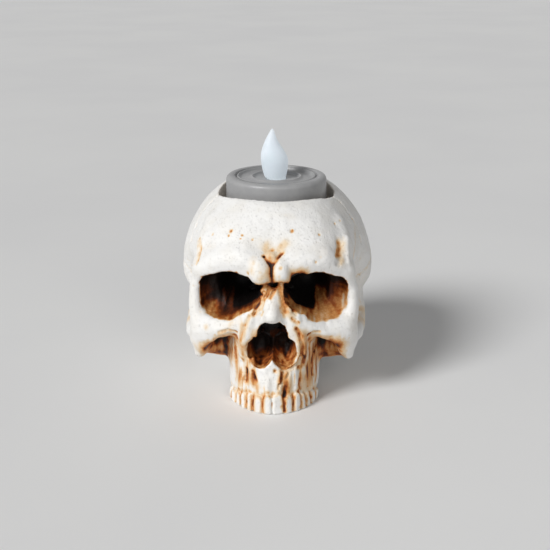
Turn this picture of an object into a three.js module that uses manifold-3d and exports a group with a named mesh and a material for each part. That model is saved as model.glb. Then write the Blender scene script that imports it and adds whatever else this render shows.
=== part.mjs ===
// A tealight holder in the shape of a human skull without its lower jaw, about half size, cast in resin.
// A battery tealight stands in a round recess in the crown.
// Millimetres, +Z up. The face looks towards -Y and the tealight's axis is the line x = 0, y = 0
// until the last step, which centres the whole holder on its own box.

import * as THREE from 'three';
import { mergeVertices } from 'three/addons/utils/BufferGeometryUtils.js';
import Module from 'manifold-3d';

const wasm = await Module();
wasm.setup();

// Skull, outside
const SKULL_WIDTH = 75;
const SKULL_LENGTH = 90;
const SKULL_HEIGHT = 80;

// Recess in the crown
const RECESS_DEPTH = 18;
const RECESS_CLEARANCE = 2.7;

// Tealight cup; its diameter follows from the cell and the switch beside it
const CUP_HEIGHT = 18;
const CUP_WALL = 1.9;
const CUP_TOP_WALL = 1.3;
const CUP_EDGE_RADIUS = 1.7;
const POOL_DEPTH = 1.4;

// Flame
const FLAME_LENGTH = 18.8;
const FLAME_WIDTH = 10.2;
const FLAME_WALL = 0.9;
const FLANGE_DIAMETER = 12;
const FLANGE_THICKNESS = 1.2;

// Light-emitting diode
const LED_DIAMETER = 5;
const LED_RIM_DIAMETER = 5.6;
const LED_RIM_THICKNESS = 1;
const LED_HEIGHT = 8.6;
const LEAD_DIAMETER = 0.5;
const LEAD_PITCH = 2.54;

// Coin cell
const CELL_DIAMETER = 20;
const CELL_THICKNESS = 3.2;
const CELL_EDGE_RADIUS = 0.4;
const CELL_POLE_DIAMETER = 16.5;

// Base plate, battery pocket and door
const PLATE_THICKNESS = 1.5;
const PLATE_RECESS = 1;
const PLATE_SEAT = 0.6;
const PLATE_BEAD = 0.5;
const POCKET_WALL = 1;
const DOOR_COLLAR = 1;
const LUG_REACH = 1.2;
const LUG_THICKNESS = 1;
const LUG_ANGLE = 36;
const LOCK_TURN = 45;
const COIN_SLOT_WIDTH = 1.6;
const COIN_SLOT_DEPTH = 0.8;
const COIN_SLOT_LENGTH = 14;
const NOTCH_PLAY = 3;
const lugAngles = [90, 270];

// Switch
const KNOB_WIDTH = 3.2;
const KNOB_LENGTH = 3.6;
const SWITCH_TRAVEL = 2.5;
const SWITCH_FLANGE = 0.8;
const KNOB_REACH = 0.7;

// Sheet metal contacts
const CONTACT_THICKNESS = 0.3;
const CONTACT_WIDTH = 4;
const CONTACT_TONGUE = 2;
const SPRING_REACH = 7;

// Gap between pieces that move or are pushed together, and how far a cut runs past what it cuts
const CLEARANCE = 0.3;
const OVERRUN = 2;

// Facets round the cup, round small turned pieces, and along a rounded edge
const CUP_SIDES = 44;
const SMALL_SIDES = 20;
const EDGE_STEPS = 4;
const SECTOR_STEPS = 6;
const LEAD_SIDES = 8;
const TOOTH_SIDES = 10;
const TOOTH_BANDS = 6;

// Faces of the skull before its teeth and recess, rounds in which a vertex is drawn onto its surface,
// and the distance below which corners are one
const SKULL_FACES = 5200;
const DRAWING_ROUNDS = 4;
const WELD_DISTANCE = 1e-5;

const DEGREE = Math.PI / 180;
const PERCENT = 0.01;

// Levels, measured up from the cup's foot
const plateTop = PLATE_RECESS + PLATE_THICKNESS;
const cellFloor = plateTop + CLEARANCE;
const cellTop = cellFloor + CELL_THICKNESS;
const lugFloor = plateTop + CLEARANCE;
const lugTop = lugFloor + LUG_THICKNESS;
const springDrop = 2 * CONTACT_THICKNESS;
const pocketCeiling = cellTop + CLEARANCE + CONTACT_THICKNESS + springDrop;
const pocketTop = pocketCeiling + POCKET_WALL;
const leadLevel = pocketTop + CLEARANCE + LEAD_DIAMETER;
const ledFloor = leadLevel + LEAD_DIAMETER + CLEARANCE;
const ledTop = ledFloor + LED_HEIGHT;
const poolLevel = CUP_HEIGHT - POOL_DEPTH;
const flangeTop = poolLevel - CUP_TOP_WALL - CLEARANCE;
const flangeFloor = flangeTop - FLANGE_THICKNESS;
const flangeSeat = plateTop + CLEARANCE;
const sliderTop = flangeSeat + SWITCH_FLANGE;
const wiperTop = sliderTop + CONTACT_THICKNESS;
const contactFoot = wiperTop + CLEARANCE;
const contactTop = contactFoot + springDrop + CONTACT_THICKNESS;
const tongueY = (SWITCH_TRAVEL + CONTACT_TONGUE) / 2 - CLEARANCE;

// Radii and places across; the pocket lies against one side of the cup and the switch fills the other
const flameBoreRadius = LED_DIAMETER / 2 + CLEARANCE;
const flameNeckRadius = flameBoreRadius + FLAME_WALL;
const collarInner = CELL_DIAMETER / 2 + CLEARANCE;
const collarOuter = collarInner + DOOR_COLLAR;
const lugOuter = collarOuter + LUG_REACH;
const pocketInner = lugOuter + CLEARANCE;
const pocketOuter = pocketInner + POCKET_WALL;
const sliderWidth = KNOB_WIDTH + 2 * SWITCH_FLANGE;
const sliderLength = KNOB_LENGTH + 2 * SWITCH_FLANGE;
const sliderRun = (sliderLength + SWITCH_TRAVEL) / 2;
const switchBay = sliderWidth + 2 * CLEARANCE + sliderRun * sliderRun / (2 * pocketOuter);
const cupInner = pocketOuter + switchBay / 2 + CLEARANCE;
const cupRadius = cupInner + CUP_WALL;
const plateRadius = cupInner + PLATE_SEAT - CLEARANCE;
const pocketX = CLEARANCE + pocketOuter - cupInner;
const switchX = pocketX + pocketOuter + CLEARANCE + sliderWidth / 2;
const recessRadius = cupRadius + RECESS_CLEARANCE;
const recessFloor = SKULL_HEIGHT - RECESS_DEPTH;

// Solids from geometries, and back

function solid(geometry) {
  const bare = geometry.clone();
  bare.deleteAttribute('normal');
  bare.deleteAttribute('uv');
  const merged = mergeVertices(bare, WELD_DISTANCE);
  return new wasm.Manifold(new wasm.Mesh({
    numProp: 3,
    vertProperties: new Float32Array(merged.attributes.position.array),
    triVerts: new Uint32Array(merged.index.array),
  }));
}

function surface(manifold) {
  const mesh = manifold.getMesh();
  const geometry = new THREE.BufferGeometry();
  geometry.setAttribute('position', new THREE.BufferAttribute(mesh.vertProperties, 3));
  geometry.setIndex(new THREE.BufferAttribute(mesh.triVerts, 1));
  geometry.computeVertexNormals();
  return geometry;
}

// A turned piece from its half section, points as [radius, height]
function turned(points, sides) {
  const profile = points.map(([radius, height]) => new THREE.Vector2(radius, height));
  return new THREE.LatheGeometry(profile, sides).rotateX(Math.PI / 2);
}

// A disc or ring between two heights
function ring(inner, outer, low, high, sides) {
  const corners = [[inner, low], [outer, low], [outer, high], [inner, high]];
  return turned(inner > 0 ? [...corners, corners[0]] : corners, sides);
}

// A box between two heights, round a centre
function plate(x, y, width, length, low, high) {
  return new THREE.BoxGeometry(width, length, high - low).translate(x, y, (low + high) / 2);
}

// A quarter round between two points of a section
function quarter(centre, radius, from, steps = EDGE_STEPS) {
  const points = [];
  for (let step = 0; step <= steps; step += 1) {
    const angle = (from + 90 * step / steps) * DEGREE;
    points.push([centre[0] + radius * Math.cos(angle), centre[1] + radius * Math.sin(angle)]);
  }
  return points;
}

// A sector of a ring, round the angle at its middle
function sector(inner, outer, middle, spread, low, high) {
  const shape = new THREE.Shape();
  const start = (middle - spread / 2) * DEGREE;
  const end = (middle + spread / 2) * DEGREE;
  shape.moveTo(inner * Math.cos(start), inner * Math.sin(start));
  shape.absarc(0, 0, outer, start, end, false);
  shape.absarc(0, 0, inner, end, start, true);
  const settings = { depth: high - low, bevelEnabled: false, curveSegments: SECTOR_STEPS };
  return new THREE.ExtrudeGeometry(shape, settings).translate(0, 0, low);
}

// Skull: a field of masses and hollows
// Every table below is in percent: of the skull's width across, of its length along, of its height up.
// The two sides are alike, so each form off the middle stands for a pair.
// A ball is [across, along, up, and its three half sizes].
// A block is a ball with squarer sides, given by the power at the end of its row.
// A rod runs through points [across, along, up, radius].
// A step is [what it does, how softly it blends, its form].

const JOIN = 'join';
const CUT = 'cut';

const ball = (...shares) => ({ kind: 'ball', shares });
const block = (...shares) => ({ kind: 'block', shares });
const pillar = (...shares) => ({ kind: 'pillar', shares });
const side = (...shares) => ({ kind: 'side', shares });
const rod = (...shares) => ({ kind: 'rod', shares });
const group = (...steps) => ({ kind: 'group', steps });

const vaultShares = [
  [JOIN, 0, ball(0, 12, 53, 49.6, 40, 47.5)],
  [JOIN, 10, ball(0, -6.7, 60, 42, 35, 41)],
  [JOIN, 7.5, ball(14.7, -22.2, 65, 21.3, 19.4, 21.3)],
  [CUT, 2, side(0, 0.09, -1, -96.2)],
];

// Hollow temples, the ridge in front of them, and the flat underside with its foot
const templeShares = [
  [CUT, 5, ball(49, -15.5, 42.5, 13.5, 16.7, 23.8)],
  [CUT, 4, ball(56, 4.5, 38, 12.5, 22, 8.8)],
  [JOIN, 6, rod([34.3, -28.5, 65, 3], [35, -24.8, 74, 2.2], [31.5, -18.5, 82, 1])],
  [CUT, 4, rod([42.8, -22.6, 73, 2.2], [43, -22.8, 62, 3.6], [44, -21, 52.5, 5])],
];

const baseShares = [
  [JOIN, 7.5, block(0, 6.7, 29.4, 37, 32, 13.8, 4)],
  [JOIN, 7.5, block(0, 22, 7.5, 22, 19, 11.3, 3)],
  [JOIN, 5, rod([36, 15.6, 33.8, 7.5], [33.3, 14.4, 16.3, 4.5])],
];

const browShares = [
  [JOIN, 5.5, rod([4.7, -40.4, 69, 4.3], [13.3, -40, 71.5, 4.2], [24, -37.2, 71, 4], [34, -31.7, 64.5, 3.4])],
  [JOIN, 1.2, ball(4.4, -42.8, 66, 4.4, 4.2, 5.8)],
  [JOIN, 5, ball(0, -24.4, 45, 34.7, 19, 23.8)],
];

// Cheekbones with their outer and lower rims, the hollow below, the gap behind and the arch to the ear
const cheekShares = [
  [JOIN, 3.8, group(
    [JOIN, 0, ball(29.3, -31.1, 35, 10.7, 6.7, 8.1)],
    [JOIN, 3, rod([34.7, -30, 63.8, 3.3], [38, -28.7, 55, 3.1], [38, -28.7, 45, 3.8], [36, -28.9, 35, 5.2],
      [36.8, -27.4, 22.5, 3])],
    [JOIN, 3, ball(33.5, -29, 29, 5.5, 5, 7)],
    [JOIN, 3, rod([34.7, -31.7, 38, 3.8], [24, -37, 37.5, 3.5], [13.3, -40, 42, 3.3], [7, -40.7, 51, 3])],
  )],
  [CUT, 2.5, ball(22.5, -33.3, 12.5, 12.3, 14.4, 21.5)],
  [CUT, 3, ball(36, -13.3, 41, 5, 10.5, 16.3)],
  [JOIN, 3, rod([37.3, -27.2, 30, 4.2], [41.3, -19, 29.4, 3.5], [42.7, -9, 29.4, 3.3], [42.4, 1, 30.6, 3.7],
    [41, 9, 33, 4.5])],
];

// Half ellipse on which the teeth stand: its middle and its half sizes
const archMiddleShare = -18.3;
const archAcrossShare = 21.2;
const archAlongShare = 26.4;

// Upper jaw round the dental arch, nose and the hollow palate
const jawShares = [
  [JOIN, 3.5, group(
    [JOIN, 0, pillar(archMiddleShare, 22.6, 27)],
    [CUT, 6, side(0, 0, -1, -45)],
    [CUT, 1.5, side(0, 0, 1, 4)],
    [CUT, 5, side(0, -1, 0, 8)],
  )],
  [CUT, 4, ball(20.5, -42.4, 31.5, 4.5, 3.4, 5)],
  [JOIN, 2.8, group(
    [JOIN, 0, rod([0, -39.4, 61.3, 2.5], [0, -42, 55, 2.8], [0, -44.6, 47.4, 4])],
    [JOIN, 3.8, rod([4.3, -39.4, 57.5, 2.6], [8.8, -40.2, 47.5, 3], [13.2, -41, 35, 3], [14.5, -38.5, 26, 2])],
  )],
  [CUT, 2, ball(0, -16.7, 0, 13.5, 21.7, 12.5)],
];

const socketShares = [
  [CUT, 1.2, group(
    [JOIN, 0, ball(14.5, -40, 56.5, 9.2, 13.9, 8.3)],
    [JOIN, 2.5, ball(20.5, -40, 55.8, 10.7, 13.9, 10.3)],
    [JOIN, 2.5, block(26.4, -39, 52, 10.4, 13.3, 11.3, 2.5)],
  )],
  [CUT, 2.5, ball(16.8, -26.7, 55, 10.4, 13.3, 9.3)],
];

const noseShares = [
  [CUT, 0.8, group(
    [JOIN, 0, ball(5.2, -42, 30, 6.8, 11, 6.2)],
    [JOIN, 2, ball(6.1, -42, 27, 5.2, 11, 5.8)],
    [JOIN, 1, ball(0, -42, 37.5, 7.4, 11, 7)],
  )],
  [JOIN, 1.2, rod([0, -33.3, 18.8, 2], [0, -42.4, 23.3, 1.2])],
];

const skullSteps = [
  ...vaultShares, ...templeShares, ...baseShares, ...browShares, ...cheekShares, ...jawShares,
  ...socketShares, ...noseShares,
];

// How far out the field is sampled, and the spacing of its samples: fine at the face, wider behind and above
const sideEndShare = 55;
const frontEndShare = -50;
const backEndShare = 56;
const floorEndShare = -6;
const topEndShare = 105;
const acrossSpacingShare = 2.5;
const faceSpacingShare = 2.1;
const backSpacingShare = 4;
const upSpacingShare = 2.4;
const crownSpacingShare = 3.5;
const faceBackShare = -24;
const crownFootShare = 74;

// How the sampled surface is thinned: its smallest error and longest edge, as shares of the skull's height,
// and how far a face may turn, as a cosine
const finestMergeShare = 0.025;
const longestEdgeShare = 11;
const mildestFold = 0.5;

function smoothMin(a, b, blend) {
  if (blend === 0 || a === Infinity) return Math.min(a, b);
  const mix = Math.min(Math.max(0.5 + 0.5 * (b - a) / blend, 0), 1);
  return b + (a - b) * mix - blend * mix * (1 - mix);
}

function rodDistance(points, x, y, z) {
  let nearest = Infinity;
  for (let k = 0; k + 1 < points.length; k += 1) {
    const [ax, ay, az, ar] = points[k];
    const [bx, by, bz, br] = points[k + 1];
    const dx = bx - ax;
    const dy = by - ay;
    const dz = bz - az;
    const along = ((x - ax) * dx + (y - ay) * dy + (z - az) * dz) / (dx * dx + dy * dy + dz * dz);
    const t = Math.min(Math.max(along, 0), 1);
    const away = Math.hypot(x - ax - t * dx, y - ay - t * dy, z - az - t * dz);
    nearest = Math.min(nearest, away - ar - t * (br - ar));
  }
  return nearest;
}

function distance(form, x, y, z) {
  if (form.kind === 'group') return sculpt(form.steps, x, y, z);
  if (form.kind === 'rod') return rodDistance(form.shares, x, y, z);
  if (form.kind === 'side') {
    const [nx, ny, nz, level] = form.shares;
    return nx * x + ny * y + nz * z - level;
  }
  if (form.kind === 'pillar') {
    const [middle, across, along] = form.shares;
    return (Math.hypot(x / across, (y - middle) / along) - 1) * across;
  }
  const [cx, cy, cz, rx, ry, rz, power] = form.shares;
  const px = (x - cx) / rx;
  const py = (y - cy) / ry;
  const pz = (z - cz) / rz;
  if (form.kind === 'block') {
    const sum = Math.abs(px) ** power + Math.abs(py) ** power + Math.abs(pz) ** power;
    return (sum ** (1 / power) - 1) * Math.min(rx, ry, rz);
  }
  const reach = Math.hypot(px, py, pz);
  return reach * (reach - 1) / (Math.hypot(px / rx, py / ry, pz / rz) + Number.EPSILON);
}

function sculpt(steps, x, y, z) {
  let field = Infinity;
  for (const [way, blend, form] of steps) {
    const here = distance(form, x, y, z);
    field = way === JOIN ? smoothMin(field, here, blend) : -smoothMin(-field, here, blend);
  }
  return field;
}

const skullField = (x, y, z) => sculpt(skullSteps, Math.abs(x), y, z);

// Sample lines between two ends, their spacing given at each line
function sampleLines(start, end, spacingAt) {
  const lines = [start];
  while (lines[lines.length - 1] < end) {
    const last = lines[lines.length - 1];
    lines.push(last + spacingAt(last));
  }
  return lines;
}

function skullLines() {
  const half = sampleLines(0, sideEndShare, () => acrossSpacingShare);
  const backwards = (line) => Math.min(Math.max((line - faceBackShare) / -faceBackShare, 0), 1);
  const widening = backSpacingShare - faceSpacingShare;
  const upwards = (line) => (line < crownFootShare ? upSpacingShare : crownSpacingShare);
  return [
    [...half.slice(1).reverse().map((line) => -line), ...half],
    sampleLines(frontEndShare, backEndShare, (line) => faceSpacingShare + widening * backwards(line)),
    sampleLines(floorEndShare, topEndShare, upwards),
  ];
}

// A grid of field samples, with the steps from a sample to its neighbours
function sampleField(lines, field) {
  const [nx, ny, nz] = lines.map((line) => line.length);
  const values = new Float64Array(nx * ny * nz);
  const step = [1, nx, nx * ny];
  for (let k = 0; k < nz; k += 1) {
    for (let j = 0; j < ny; j += 1) {
      for (let i = 0; i < nx; i += 1) {
        values[i + j * step[1] + k * step[2]] = field(lines[0][i], lines[1][j], lines[2][k]);
      }
    }
  }
  return { lines, values, step, counts: [nx, ny, nz] };
}

function eachCell({ counts, step }, visit) {
  for (let k = 0; k + 1 < counts[2]; k += 1) {
    for (let j = 0; j + 1 < counts[1]; j += 1) {
      for (let i = 0; i + 1 < counts[0]; i += 1) {
        visit([i, j, k], i + j * step[1] + k * step[2]);
      }
    }
  }
}

// Fills the few samples at which the surface would touch itself along an edge or at a point
function fillPinches(grid) {
  const { values, step } = grid;
  const inside = (at) => values[at] < 0;
  const fill = (at) => {
    values[at] = -Number.EPSILON;
    return true;
  };
  const pinchedFace = (at, u, v) => {
    const near = inside(at);
    const beside = inside(at + u);
    if (near !== inside(at + u + v) || beside !== inside(at + v) || near === beside) return false;
    return fill(near ? at + u : at);
  };
  const ends = [0, 1];
  const corners = ends.flatMap((k) => (
    ends.flatMap((j) => ends.map((i) => i * step[0] + j * step[1] + k * step[2]))));
  const pinchedCell = (at) => {
    const held = corners.map((corner) => inside(at + corner));
    const kept = held.filter(Boolean).length;
    const few = Math.min(kept, held.length - kept);
    if (few !== 2) return false;
    const odd = held.indexOf(kept === few);
    if (held[held.length - 1 - odd] !== held[odd]) return false;
    return fill(at + corners[kept === few ? odd ^ 1 : odd]);
  };
  let changed = true;
  while (changed) {
    changed = false;
    eachCell(grid, (cell, at) => {
      for (const [u, v] of [[0, 1], [1, 2], [2, 0]]) {
        changed = pinchedFace(at, step[u], step[v]) || changed;
      }
      changed = pinchedCell(at) || changed;
    });
  }
}

// One vertex in each cell that the surface crosses, drawn onto the surface along the field's slope
function cellVertex(grid, cell, at, field) {
  const { lines, values, step } = grid;
  const sum = [0, 0, 0];
  let crossings = 0;
  for (let axis = 0; axis < 3; axis += 1) {
    const [u, v] = [(axis + 1) % 3, (axis + 2) % 3];
    for (const [du, dv] of [[0, 0], [1, 0], [0, 1], [1, 1]]) {
      const start = at + du * step[u] + dv * step[v];
      const near = values[start];
      const far = values[start + step[axis]];
      if ((near < 0) !== (far < 0)) {
        const line = lines[axis];
        sum[axis] += line[cell[axis]] + (line[cell[axis] + 1] - line[cell[axis]]) * near / (near - far);
        sum[u] += lines[u][cell[u] + du];
        sum[v] += lines[v][cell[v] + dv];
        crossings += 1;
      }
    }
  }
  if (crossings === 0) return null;
  const low = cell.map((index, axis) => lines[axis][index]);
  const high = cell.map((index, axis) => lines[axis][index + 1]);
  const point = sum.map((total) => total / crossings);
  const probe = faceSpacingShare * PERCENT;
  for (let round = 0; round < DRAWING_ROUNDS; round += 1) {
    const here = field(...point);
    const slope = [0, 1, 2].map((axis) => {
      const beside = [...point];
      beside[axis] += probe;
      return (field(...beside) - here) / probe;
    });
    const steep = slope.reduce((total, part) => total + part * part, Number.EPSILON);
    for (let axis = 0; axis < 3; axis += 1) {
      const moved = point[axis] - here * slope[axis] / steep;
      point[axis] = Math.min(Math.max(moved, low[axis]), high[axis]);
    }
  }
  return point;
}

// Sum of squared distances to planes, as the ten numbers of its symmetric matrix
function addPlane(sum, normal, offset) {
  const plane = [normal.x, normal.y, normal.z, offset];
  let at = 0;
  for (let row = 0; row < 4; row += 1) {
    for (let column = row; column < 4; column += 1) {
      sum[at] += plane[row] * plane[column];
      at += 1;
    }
  }
}

function squaredError(sum, point) {
  const vector = [point.x, point.y, point.z, 1];
  let total = 0;
  let at = 0;
  for (let row = 0; row < 4; row += 1) {
    for (let column = row; column < 4; column += 1) {
      total += (row === column ? 1 : 2) * sum[at] * vector[row] * vector[column];
      at += 1;
    }
  }
  return total;
}

// Merges neighbouring vertices, flattest places first, until few enough faces are left.
// A merge that would pinch the surface, fold a face over or make a long edge is left out.
function thinned(points, faces, limit, finest, longest) {
  const facesOf = points.map(() => new Set());
  const errors = points.map(() => new Float64Array(10));
  const normalOf = (corners) => new THREE.Triangle(...corners).getNormal(new THREE.Vector3());
  faces.forEach((face, id) => {
    const normal = normalOf(face.map((vertex) => points[vertex]));
    face.forEach((vertex) => {
      facesOf[vertex].add(id);
      addPlane(errors[vertex], normal, -normal.dot(points[face[0]]));
    });
  });
  const around = (vertex) => {
    const ring = new Set([...facesOf[vertex]].flatMap((id) => faces[id]));
    ring.delete(vertex);
    return ring;
  };
  const folds = (vertex, other, target) => [...facesOf[vertex]].some((id) => {
    const face = faces[id];
    if (face.includes(other)) return false;
    const before = normalOf(face.map((corner) => points[corner]));
    const after = normalOf(face.map((corner) => (corner === vertex ? target : points[corner])));
    return before.dot(after) < mildestFold;
  });
  let left = faces.length;
  const merge = (kept, gone, allowed) => {
    const sum = errors[kept].map((value, at) => value + errors[gone][at]);
    const middle = points[kept].clone().lerp(points[gone], 0.5);
    const targets = [middle, points[kept], points[gone]];
    const costs = targets.map((target) => squaredError(sum, target));
    const target = targets[costs.indexOf(Math.min(...costs))].clone();
    if (squaredError(sum, target) > allowed) return;
    const ringKept = around(kept);
    const ringGone = around(gone);
    const shared = [...ringKept].filter((vertex) => ringGone.has(vertex));
    if (shared.length !== 2) return;
    const spread = [...ringKept, ...ringGone].some((vertex) => points[vertex].distanceTo(target) > longest);
    if (spread || folds(kept, gone, target) || folds(gone, kept, target)) return;
    for (const id of facesOf[gone]) {
      if (faces[id].includes(kept)) {
        faces[id].forEach((vertex) => vertex !== gone && facesOf[vertex].delete(id));
        faces[id] = null;
        left -= 1;
      } else {
        faces[id] = faces[id].map((vertex) => (vertex === gone ? kept : vertex));
        facesOf[kept].add(id);
      }
    }
    facesOf[gone].clear();
    points[kept] = target;
    errors[kept] = sum;
  };
  for (let allowed = finest * finest; left > limit && allowed < longest * longest; allowed *= 2) {
    for (let id = 0; id < faces.length && left > limit; id += 1) {
      for (let corner = 0; corner < 3 && faces[id] !== null; corner += 1) {
        const [kept, gone] = [faces[id][corner], faces[id][(corner + 1) % 3]];
        merge(kept, gone, allowed);
      }
    }
  }
  return faces.filter((face) => face !== null);
}

// The surface of a field as one closed mesh of triangles, scaled from shares to its real size
function fieldGeometry(lines, field, scale) {
  const grid = sampleField(lines, field);
  fillPinches(grid);
  const { values, step } = grid;
  const positions = [];
  const faces = [];
  const vertexOf = new Map();
  eachCell(grid, (cell, at) => {
    const point = cellVertex(grid, cell, at, field);
    if (point === null) return;
    vertexOf.set(at, positions.length);
    positions.push(new THREE.Vector3(...point).multiply(scale));
  });
  eachCell(grid, (cell, at) => {
    for (let axis = 0; axis < 3; axis += 1) {
      const [u, v] = [(axis + 1) % 3, (axis + 2) % 3];
      const held = values[at] < 0;
      if (held === values[at + step[axis]] < 0) continue;
      const around = [at, at - step[u], at - step[u] - step[v], at - step[v]].map((key) => vertexOf.get(key));
      const [a, b, c, d] = held ? around : around.reverse();
      const short = positions[a].distanceTo(positions[c]) < positions[b].distanceTo(positions[d]);
      faces.push(...(short ? [[a, b, c], [a, c, d]] : [[a, b, d], [b, c, d]]));
    }
  });
  const finest = finestMergeShare * scale.z;
  const longest = longestEdgeShare * scale.z;
  const kept = thinned(positions, faces, SKULL_FACES, finest, longest);
  const geometry = new THREE.BufferGeometry();
  geometry.setAttribute('position', new THREE.Float32BufferAttribute(positions.flatMap((point) => [...point]), 3));
  geometry.setIndex(kept.flat());
  return geometry;
}

// Upper teeth, from the middle one outwards: width as a share of the arch's run from middle to widest,
// crown as a share of the skull's height, half thickness as a share of its length
const toothShares = [
  [11.3, 9.3, 1.9],
  [9.4, 8.8, 1.8],
  [10, 8.8, 2.1],
  [9.4, 7.5, 2.2],
  [9.8, 6.8, 2.2],
  [12.6, 6, 2.4],
  [12, 5.5, 2.4],
];
const toothRootShare = 1;
const toothOverlapShare = 1.03;
const toothPower = 3;

// A squared ball of half size one, with its poles up and down
function squaredBall(power, around, up) {
  const geometry = new THREE.SphereGeometry(1, around, up).rotateX(Math.PI / 2);
  const position = geometry.attributes.position;
  const point = new THREE.Vector3();
  for (let k = 0; k < position.count; k += 1) {
    point.fromBufferAttribute(position, k);
    const sum = [...point].reduce((total, part) => total + Math.abs(part) ** power, 0);
    point.multiplyScalar(sum ** (-1 / power));
    position.setXYZ(k, ...point);
  }
  return geometry;
}

// Teeth set side by side along the half ellipse of the dental arch
function teeth() {
  const across = archAcrossShare * PERCENT * SKULL_WIDTH;
  const along = archAlongShare * PERCENT * SKULL_LENGTH;
  const middle = archMiddleShare * PERCENT * SKULL_LENGTH;
  const quarterArch = new THREE.Curve();
  quarterArch.getPoint = (t) => {
    const angle = t * Math.PI / 2;
    return new THREE.Vector2(across * Math.sin(angle), middle - along * Math.cos(angle));
  };
  const crowns = [];
  let run = 0;
  for (const [width, crown, thickness] of toothShares) {
    const place = (run + width / 2) * PERCENT;
    const point = quarterArch.getPointAt(place);
    const facing = Math.atan2(quarterArch.getTangentAt(place).y, quarterArch.getTangentAt(place).x);
    const root = toothRootShare * PERCENT * SKULL_HEIGHT;
    const top = crown * PERCENT * SKULL_HEIGHT;
    for (const hand of [-1, 1]) {
      const tooth = squaredBall(toothPower, TOOTH_SIDES, TOOTH_BANDS);
      const halfWidth = toothOverlapShare * width / 2 * PERCENT * quarterArch.getLength();
      tooth.scale(halfWidth, thickness * PERCENT * SKULL_LENGTH, top / 2 + root);
      tooth.rotateZ(hand * facing).translate(hand * point.x, point.y, top / 2 - root);
      crowns.push(solid(tooth));
    }
    run += width;
  }
  return crowns;
}

function skullBody() {
  const scale = new THREE.Vector3(SKULL_WIDTH, SKULL_LENGTH, SKULL_HEIGHT).multiplyScalar(PERCENT);
  const bone = solid(fieldGeometry(skullLines(), skullField, scale));
  const ground = solid(plate(0, 0, 2 * SKULL_WIDTH, 2 * SKULL_LENGTH, -SKULL_HEIGHT, 0));
  const recess = solid(ring(0, recessRadius, recessFloor, 2 * SKULL_HEIGHT, CUP_SIDES));
  const toothed = teeth().reduce((whole, tooth) => whole.add(tooth), bone);
  return surface(toothed.subtract(ground).subtract(recess));
}

// A surface lofted through rings of [centre x, half width, half depth, height], from a point to a point
function lofted(rings, sides) {
  const positions = [];
  const faces = [];
  rings.forEach(([centre, halfWidth, halfDepth, height]) => {
    for (let k = 0; k < sides; k += 1) {
      const angle = 2 * Math.PI * k / sides;
      positions.push(centre + halfWidth * Math.cos(angle), halfDepth * Math.sin(angle), height);
    }
  });
  for (let row = 0; row + 1 < rings.length; row += 1) {
    for (let k = 0; k < sides; k += 1) {
      const [a, b] = [row * sides + k, row * sides + (k + 1) % sides];
      if (rings[row][1] > 0) faces.push(a, b, a + sides);
      if (rings[row + 1][1] > 0) faces.push(b, b + sides, a + sides);
    }
  }
  const geometry = new THREE.BufferGeometry();
  geometry.setAttribute('position', new THREE.Float32BufferAttribute(positions, 3));
  geometry.setIndex(faces);
  return geometry;
}

// Terraces of the cup's sunken top, from its rim inwards: radius in percent of the cup's, and height
// above the pool in percent of its depth
const terraceShares = [
  [82, 100],
  [81, 62],
  [79.5, 58],
  [77, 82],
  [75, 76],
  [72, 36],
  [68, 26],
  [60, 30],
  [52, 36],
  [47, 56],
  [44.5, 50],
  [41, 14],
  [36, 4],
  [28, 0],
];

// Cup of the tealight: a rounded edge, a sunken top in terraces, and a seat and a bead for the plate
function candleShell() {
  const seat = cupInner + PLATE_SEAT;
  const hole = flameNeckRadius + CLEARANCE;
  const ceiling = poolLevel - CUP_TOP_WALL;
  const terraces = terraceShares.map(([radius, height]) => [
    radius * PERCENT * cupRadius,
    poolLevel + height * PERCENT * POOL_DEPTH,
  ]);
  const section = [
    [seat, 0],
    [cupRadius, 0],
    ...quarter([cupRadius - CUP_EDGE_RADIUS, CUP_HEIGHT - CUP_EDGE_RADIUS], CUP_EDGE_RADIUS, 0),
    ...terraces,
    [hole, poolLevel],
    [hole, ceiling],
    [cupInner, ceiling],
    [cupInner, plateTop + CLEARANCE],
    [seat, plateTop + CLEARANCE],
    [seat, PLATE_RECESS - CLEARANCE],
    [seat - PLATE_BEAD, (PLATE_RECESS - CLEARANCE) / 2],
  ];
  return turned([...section, section[0]], CUP_SIDES);
}

// Flame, top to bottom of the table from its neck to its tip: height as a share of its length,
// width and sideways lean as shares of its width
const flameShares = [
  [10, 84, -4],
  [20, 96, -4],
  [32, 100, -5.5],
  [44, 90, -8],
  [54, 73, -11],
  [64, 54, -14],
  [73, 40, -14.5],
  [82, 28, -13.5],
  [91, 17, -13],
  [97, 8, -13],
  [100, 0, -13],
];
const flameDepthShare = 90;

// Hollow flame with a neck through the cup's top and a flange below it, open underneath round the diode
function flameDiffuser() {
  const dome = ledTop - LED_DIAMETER / 2;
  const bore = [[0, 0, 0, dome + flameBoreRadius]];
  for (let step = 1; step <= EDGE_STEPS; step += 1) {
    const angle = step / EDGE_STEPS * Math.PI / 2;
    const radius = flameBoreRadius * Math.sin(angle);
    bore.push([0, radius, radius, dome + flameBoreRadius * Math.cos(angle)]);
  }
  const round = (radius, height) => [0, radius, radius, height];
  const body = flameShares.map(([up, width, lean]) => [
    lean * PERCENT * FLAME_WIDTH,
    width * PERCENT * FLAME_WIDTH / 2,
    width * PERCENT * flameDepthShare * PERCENT * FLAME_WIDTH / 2,
    poolLevel + up * PERCENT * FLAME_LENGTH,
  ]);
  return lofted([
    ...bore,
    round(flameBoreRadius, flangeFloor),
    round(FLANGE_DIAMETER / 2, flangeFloor),
    round(FLANGE_DIAMETER / 2, flangeTop),
    round(flameNeckRadius, flangeTop),
    round(flameNeckRadius, poolLevel),
    ...body,
  ], SMALL_SIDES);
}

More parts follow.
